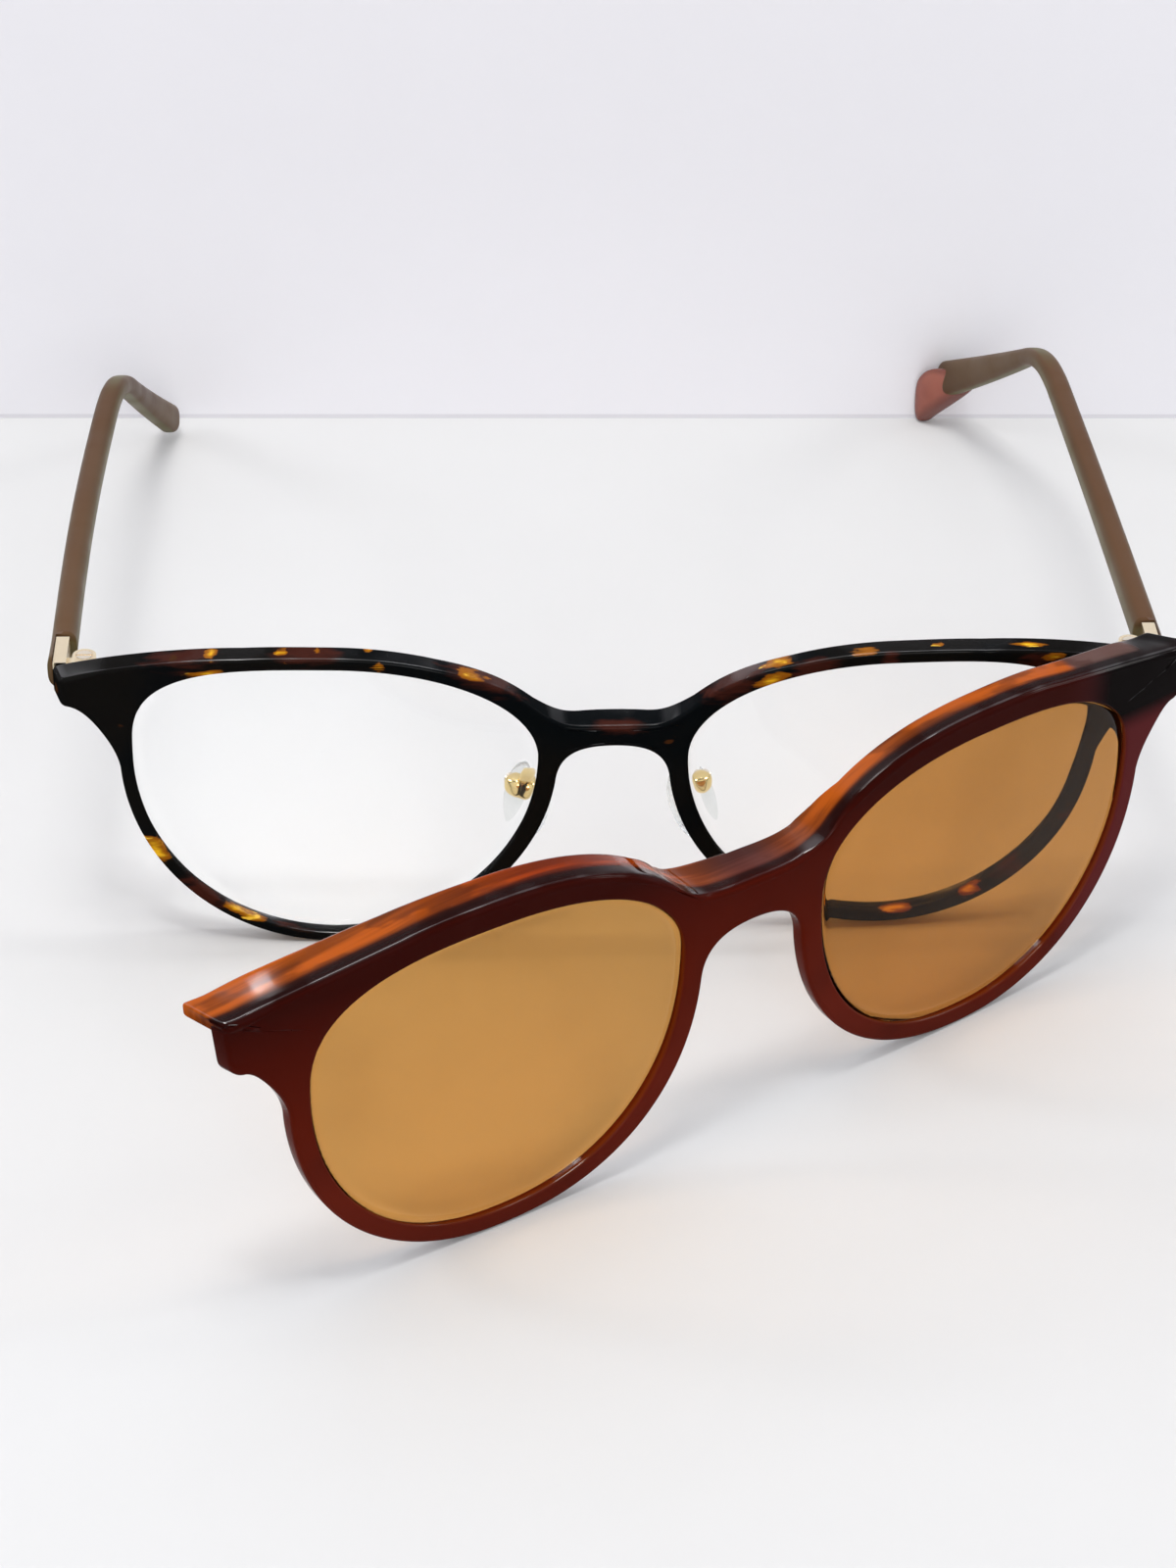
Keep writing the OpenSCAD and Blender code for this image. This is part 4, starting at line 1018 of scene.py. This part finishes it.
def tube(name, path, radius, around):
    """A round wire along a smooth path."""
    line = curve_through(path, 6, False)
    rings = []
    for k, point in enumerate(line):
        ahead = line[min(k + 1, len(line) - 1)] - line[max(k - 1, 0)]
        ahead = Vector(ahead).normalized()
        first = ahead.cross(Vector((0, 0.3, 1))).normalized()
        second = ahead.cross(first)
        rings.append(([tuple(Vector(point) + (first * math.cos(t) + second * math.sin(t)) * radius)
                       for t in np.linspace(0, 2 * math.pi, around, endpoint=False)], {}))
    return swept(name, rings, ())


arm_path = [(7.9, 1.8, 23.0), (8.8, 3.0, 23.7), (9.9, 4.2, 23.6), (10.6, 5.2, 22.4), (10.9, 6.0, 21.1),
            (11.1, 6.8, 20.0)]
for word, side in (("left", 1), ("right", -1)):
    upright = lug_matrix(side)
    pad = pebble("pad_pebble_" + word, pad_matrix(side), (0, pad_face - pad_thick / 2, pad_centre), pad_half,
                 pad_thick, (2.6, 2.2, 2.2), 19)
    pad.data.materials.append(silicone)
    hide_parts("nose_pad_" + word)
    plate = pebble("pad_plate_" + word, pad_matrix(side), (0, 1.95, -0.9), (1.15, 1.3, 1.7), 0.55,
                   (4, 2.4, 2.8), 9)
    plate.data.materials.append(insert_gilt)
    lug = pebble("pad_lug_" + word, upright, (0, 0.3, 0), (0.62, 0.8, 0.8), 2.6, (5, 3, 3.5), 9)
    lug.data.materials.append(insert_gilt)
    for piece in (plate, lug):
        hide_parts("pad_insert_" + word)
    for piece in (pad, plate, lug):
        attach(piece, "pad_" + word)
    wire = tube("pad_wire_" + word, [(side * x, y, z) for x, y, z in arm_path], 0.38, 20)
    cup = pebble("pad_cup_" + word, upright, (0, -0.4, 0), (1.5, 1.4, 1.4), 2.6, (3.0, 2.6, 2.8), 15)
    for piece in (wire, cup):
        piece.data.materials.append(gilt)
        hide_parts("pad_arm_" + word)
        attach(piece, "frame")


# Clip-on front
# A thin plate of dark red translucent acetate, milled to the same shape, with a brow ledge along its
# top edge that reaches back over the glasses. It stands open on the magnets of the wearer's left side.
swing_centre = (66.1, 4.089)
clip_open = 32.5
clip_middle = (34.4, 28.1)
clip_radii = (24.2, 24.4, 13.7, 25.8)
clip_bulges = (2.7, 2.2, 2.27, 2.1)
clip_rim_widths = (2.5, 2.9, 3.4, 2.3)
clip_end_x, clip_end_top, clip_end_low = 69.5, 41.1, 34.1
clip_under, clip_bridge_top = 29.3, 35.0
clip_face, clip_rear = -2.55, -0.39
ledge_underlap = 1.25

swung = (Matrix.Translation(Vector((swing_centre[0] * MM, swing_centre[1] * MM, 0)))
         @ Matrix.Rotation(math.radians(clip_open), 4, "Z")
         @ Matrix.Translation(Vector((-swing_centre[0] * MM, -swing_centre[1] * MM, 0))))

clip_outer = [a + b for a, b in zip(clip_radii, clip_rim_widths)]
clip_shape = (clip_middle, clip_bulges)
shoulder = oval_point(146, clip_middle, clip_outer, clip_bulges)
brow = oval_point(70, clip_middle, clip_outer, clip_bulges)
clip_top = pull((2, clip_bridge_top), (6, clip_bridge_top), shoulder - (2.6, 2.9), shoulder, 22)
clip_top = [np.array([x, clip_bridge_top]) for x in (0.0, 1.0)] + clip_top
clip_top += [oval_point(a, clip_middle, clip_outer, clip_bulges) for a in np.arange(144.75, 70.5, -oval_step)]
clip_top += pull(brow, brow + (5.5, -0.75), (end_x - 4.5, clip_end_top + 1.2),
                 (clip_end_x - 0.6, clip_end_top + 0.05), 34)
clip_edge = half_edge(clip_top, clip_end_x - 0.6, clip_end_low, 1.7, clip_shape, clip_outer, 187,
                      clip_under)
clip_edge = [(p + (0.12 * (p[1] - 35.2) * ease((p[0] - 64) / 4), 0), angle) for p, angle in clip_edge]
clip_rings = rounded_ring(
    clip_edge, clip_shape, clip_radii,
    lambda x: bow(x) + clip_face, lambda x: bow(x) + clip_rear,
    lambda p: 0.45, lambda p: 0.4, 0.3,
    lambda x, d: ease((x - 62) / 6) * 1.1 * (1 - d / (front_depth + end_thick)),
    lambda x, n: 0.25 * ease(n[1] * 2),
)
# Rows along the clip's openings carry a painted amber glow.
clip_plate = mirrored_skin("clip_plate", clip_rings, [0.5, 0.6, 0.4, 0.2, 0.0, 0.0] + [0.0] * 27)

under_x = np.array([p[0] for p in front_top] + [end_x + 20])
under_z = np.array([p[1] for p in front_top] + [front_top[-1][1] - 0.3]) + ledge_underlap
ledge_rise = bow(end_x) + 1.2
ledge_r = (end_x * end_x + ledge_rise * ledge_rise) / (2 * ledge_rise)
reach_half, reach_rise = 15, 2.2
reach_r = (reach_half ** 2 + reach_rise ** 2) / (2 * reach_rise)


def ledge_rear(x):
    far = 1.5 + ledge_r - math.sqrt(ledge_r * ledge_r - x * x)
    if abs(x) < reach_half:
        far = max(far, 1.5 + reach_rise - reach_r + math.sqrt(reach_r ** 2 - x * x))
    return far


def ledge_more(x):
    """How much further back the hand-finished ledge reaches on the side of the wearer's right eye."""
    return 1.1 * ease((x + 2) / 10) + 0.45 * ease((x - 40) / 12) - 0.5 * ease((x - 62) / 7)


def ledge_depth(point, normal):
    """How far the ledge is thick at a point of the clip's top edge, square to that edge."""
    for step in np.arange(0.2, 6, 0.05):
        x, z = point - normal * step
        if z < max(np.interp(x, under_x, under_z), np.interp(x + 0.45, under_x, under_z)):
            return step
    return 1.2


def arc_row(corner_y, corner_n, radius, first, last, count):
    """Points of a rounded corner of the ledge's section: depth behind its face and drop below its top."""
    return [(corner_y + radius * math.cos(math.radians(a)), corner_n + radius * math.sin(math.radians(a)))
            for a in np.linspace(first, last, count)]


ledge_end, ledge_overhang, ledge_short = 68.5, 1.8, 3.9
ledge_line = [p for p in clip_top if p[0] < 66.6]
last = ledge_line[-1]
ledge_line += [last + (ledge_end - 0.75 - last[0]) * t * np.array([1.0, -0.06]) for t in (0.35, 0.7, 1.0)]
corner_from = ledge_line[-1]
ledge_line += [corner_from + np.array([0.75 * math.sin(a), -0.05 * math.sin(a)]) for a in
               np.radians([15, 30, 45, 58, 70, 80, 87])]
ledge_rings = []
for k, point in enumerate(ledge_line):
    ahead = ledge_line[min(k + 1, len(ledge_line) - 1)]
    before = ledge_line[max(k - 1, 0)]
    run = ahead - before
    normal = np.array([-run[1], run[0]]) / np.linalg.norm(run)
    if k == 0:
        normal = np.array([0.0, 1.0])
    left = len(ledge_line) - 1 - k
    f = math.radians((0, 15, 30, 45, 58, 70, 80, 87)[7 - left]) if left < 7 else 0.0
    tuck = 0.75 * (1 - math.cos(f))
    x = min(point[0], 69)
    near, far = bow(x) + clip_face - 0.02 + tuck, ledge_rear(x) - tuck
    thick = ledge_depth(point, normal) if point[0] < 66 else thick
    top_in = 0.35 * (1 - math.cos(f))
    t = thick - 2 * top_in
    crease, heel, lip = min(0.9, t - 0.3), 0.45, 0.3
    section = arc_row(near + 0.42, t - 0.12, 0.12, 90, 180, 3)
    section += [(near + 0.3 * s * s, crease + (t - 0.12 - crease) * s) for s in (0.6, 0.25)]
    section += arc_row(near + crease, crease, crease, 180, 270, 9)
    section += [(near + d, 0.0) for d in (1.3, 1.65, 2.0, 2.35)]
    section += [(near + 2.35 + (far - heel - near - 2.35) * s, 0.0) for s in (0.3, 0.6, 0.9)]
    section += arc_row(far - heel, heel, heel, 270, 360, 6)
    section += arc_row(far - lip, t - lip, lip, 0, 90, 4)
    section += [(far - lip + (near + 0.42 - far + lip) * s, t) for s in (0.3, 0.7)]
    # lit marks the ledge's top, which is painted with the light that comes through the thin sheet.
    lit = [0] * 14 + [0, 0.25, 0.8, 1] + [1] * 9 + [0.8] * 4 + [0.4] * 2
    # The rounded crease below the top gets a painted dark reflection.
    painted_crease_band = [0] * 5 + [0, 0, 0, 0.1, 0.25, 0.4, 0.6, 0.8, 0.95] + [1, 1, 0.4, 0] + [0] * 15
    ring = []
    for y, n in section:
        spot = point - normal * (n + top_in)
        out = ease((point[0] - 62) / 6) * ledge_overhang * (y - near) / 5.2
        ring.append((spot[0] + out, y, spot[1], max(0.0, (y - near - 1.2) / (far - near - 1.2))))
    ledge_rings.append((ring, lit, painted_crease_band))


def ledge_skin(name, rings):
    """The ledge and its mirror image, closed at both ends, with its painted lit top and its painted dark
    crease band stored.
    """
    made = bmesh.new()
    lit_layer = made.verts.layers.float.new("lit")
    painted_crease_band_layer = made.verts.layers.float.new("painted_crease_band")
    for sign in (1, -1):
        grid = []
        for ring, lit, painted_crease_band in rings:
            row = []
            for (x, y, z, rear), value, dark in zip(ring, lit, painted_crease_band):
                if sign < 0:
                    y += ledge_more(x) * min(1.0, rear)
                else:
                    x -= ease((x - 58) / 10) * (0.4 + ledge_short * rear)
                vert = made.verts.new((sign * x * MM, y * MM, z * MM + table_z))
                vert[lit_layer], vert[painted_crease_band_layer] = value, dark
                row.append(vert)
            grid.append(row)
        around = len(grid[0])
        for a, b in zip(grid, grid[1:]):
            for k in range(around):
                made.faces.new((a[k], b[k], b[(k + 1) % around], a[(k + 1) % around]))
        made.faces.new(grid[-1])
    bmesh.ops.remove_doubles(made, verts=made.verts, dist=1e-6)
    return skin(name, made)


clip_ledge = ledge_skin("clip_ledge", ledge_rings)
clip_shell, nodes, shader = fresh_material("clip_shell")
feed(0.02, shader.inputs["Specular IOR Level"])
place = polished(nodes, shader, 0.06, 0.16, 0.05)
glossy_creases(nodes, shader, place)
where = nodes.new("ShaderNodeSeparateXYZ")
feed(place, where.inputs["Vector"])


def share_of(nodes, value, low, high):
    """How far a coordinate is between two places, from 0 to 1."""
    share = nodes.new("ShaderNodeMapRange")
    for word, given in (("Value", value), ("From Min", low), ("From Max", high)):
        feed(given, share.inputs[word])
    return share.outputs["Result"]


def ramp(nodes, value, stops):
    """Colours along a value, as (place, web colour) pairs."""
    strip = nodes.new("ShaderNodeValToRGB")
    band = strip.color_ramp
    while len(band.elements) < len(stops):
        band.elements.new(0.5)
    for element, (at, web) in zip(band.elements, stops):
        element.position = at
    for element, (at, web) in zip(band.elements, stops):
        element.color = (*tone(web), 1)
    feed(value, strip.inputs["Fac"])
    return strip.outputs["Color"]


# The face: dark red, brighter towards its foot. Painted shade makes it darker and mauve where the end piece
# stands behind it, and nearly black higher up there. A painted amber glow lines its openings.
face = ramp(nodes, share_of(nodes, where.outputs["Z"], -0.029, 0.012),
            [(0.0, "52190f"), (0.3, "5c1c10"), (0.6, "541507"), (0.85, "440e05"), (1.0, "300804")])
cloud = sharpen(nodes, noise(nodes, place, 70, 2), 0.45, 0.8)
face = blend_colours(nodes, times(nodes, cloud, 0.5), face, tone("36100a"))
painted_end_shade = sharpen(nodes, where.outputs["X"], 0.047, 0.055)
high = sharpen(nodes, where.outputs["Z"], 0.0035, 0.007)
face = blend_colours(nodes, times(nodes, painted_end_shade, 0.7), face, tone("562226"))
face = blend_colours(nodes, times(nodes, painted_end_shade, high), face, tone("070303"))
face = blend_colours(nodes, stored(nodes, "painted_rim_glow"), face, tone("6a300a"))

# The ledge: light through the thin sheet is painted into its colour, over its grain. The sheet is painted
# orange where light comes through, redder over the wearer's right eye; painted shade dulls it where the
# bridge stands under it, a painted dusky sheen lies over the left end piece, and it is painted black at its
# left end.
def around(nodes, value, middle, inner, outer):
    """1 within inner of a place and 0 beyond outer of it, with a soft step between them."""
    apart = maths(nodes, "ABSOLUTE", maths(nodes, "SUBTRACT", value, middle))
    return maths(nodes, "SUBTRACT", 1.0, sharpen(nodes, apart, inner, outer))


along_clip = where.outputs["X"]
sheet = tone("aa4f10")
for share, web in (
    (around(nodes, along_clip, -0.0245, 0.001, 0.025), "8c300a"),
    (around(nodes, along_clip, 0.001, 0.001, 0.012), "5c2f28"),
    (sharpen(nodes, along_clip, 0.0489, 0.0505), "5a403a"),
    (sharpen(nodes, along_clip, 0.06, 0.062), "0c0808"),
):
    sheet = blend_colours(nodes, share, sheet, tone(web))
streak = sharpen(nodes, noise(nodes, place, 520, 4, (0.05, 1, 0.25)), 0.42, 0.6)
blotch = sharpen(nodes, noise(nodes, place, 170, 3, (0.55, 1.2, 1)), 0.56, 0.63)
grain = blend_colours(nodes, times(nodes, streak, 0.53), sheet, tone("0a0402"))
grain = blend_colours(nodes, times(nodes, blotch, 0.45), grain, tone("38160c"))
# The ledge's top takes the painted light through the sheet, and its front keeps the face's colour.
base = blend_colours(nodes, stored(nodes, "lit"), face, grain)
# Painted dark reflection on the ledge's rounded crease.
painted_crease_band_dark = times(nodes, stored(nodes, "painted_crease_band"), 0.8)
base = blend_colours(nodes, painted_crease_band_dark, base, tone("120403"))
feed(base, shader.inputs["Base Color"])
for piece in (clip_plate, clip_ledge):
    piece.data.materials.append(clip_shell)
    piece.matrix_world = swung
    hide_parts("clip_frame")
    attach(piece, "clip")


# Sun lenses of the clip
# Amber-brown tinted plastic, 1.1 mm thick and domed like the lenses behind them, snapped into the plate's
# grooves. The right one has a lighter copy of the tint, which paints the brighter light that shows through
# it.
sun_tints_lit_and_shaded = {
    "left": ((0.52, 0.24, 0.06), (0.48, 0.22, 0.054)),
    "right": ((0.62, 0.33, 0.093), (0.57, 0.3, 0.084)),
}
for side, word in ((1, "left"), (-1, "right")):
    lens = domed_lens("sun_lens_" + word, clip_middle, clip_radii, clip_bulges, -1.45, 1.1, 0.45, side, 0.3)
    sun_lens = lens_glass("sun_lens_" + word, 1.3, 0.03, *sun_tints_lit_and_shaded[word], (0.88, 0.76, 0.66))
    feed((0.08, 0.08, 0.08), sun_lens.node_tree.nodes["Principled BSDF"].inputs["Specular Tint"])
    lens.data.materials.append(sun_lens)
    lens.matrix_world = swung
    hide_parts("clip_lens_" + word)
    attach(lens, "clip")
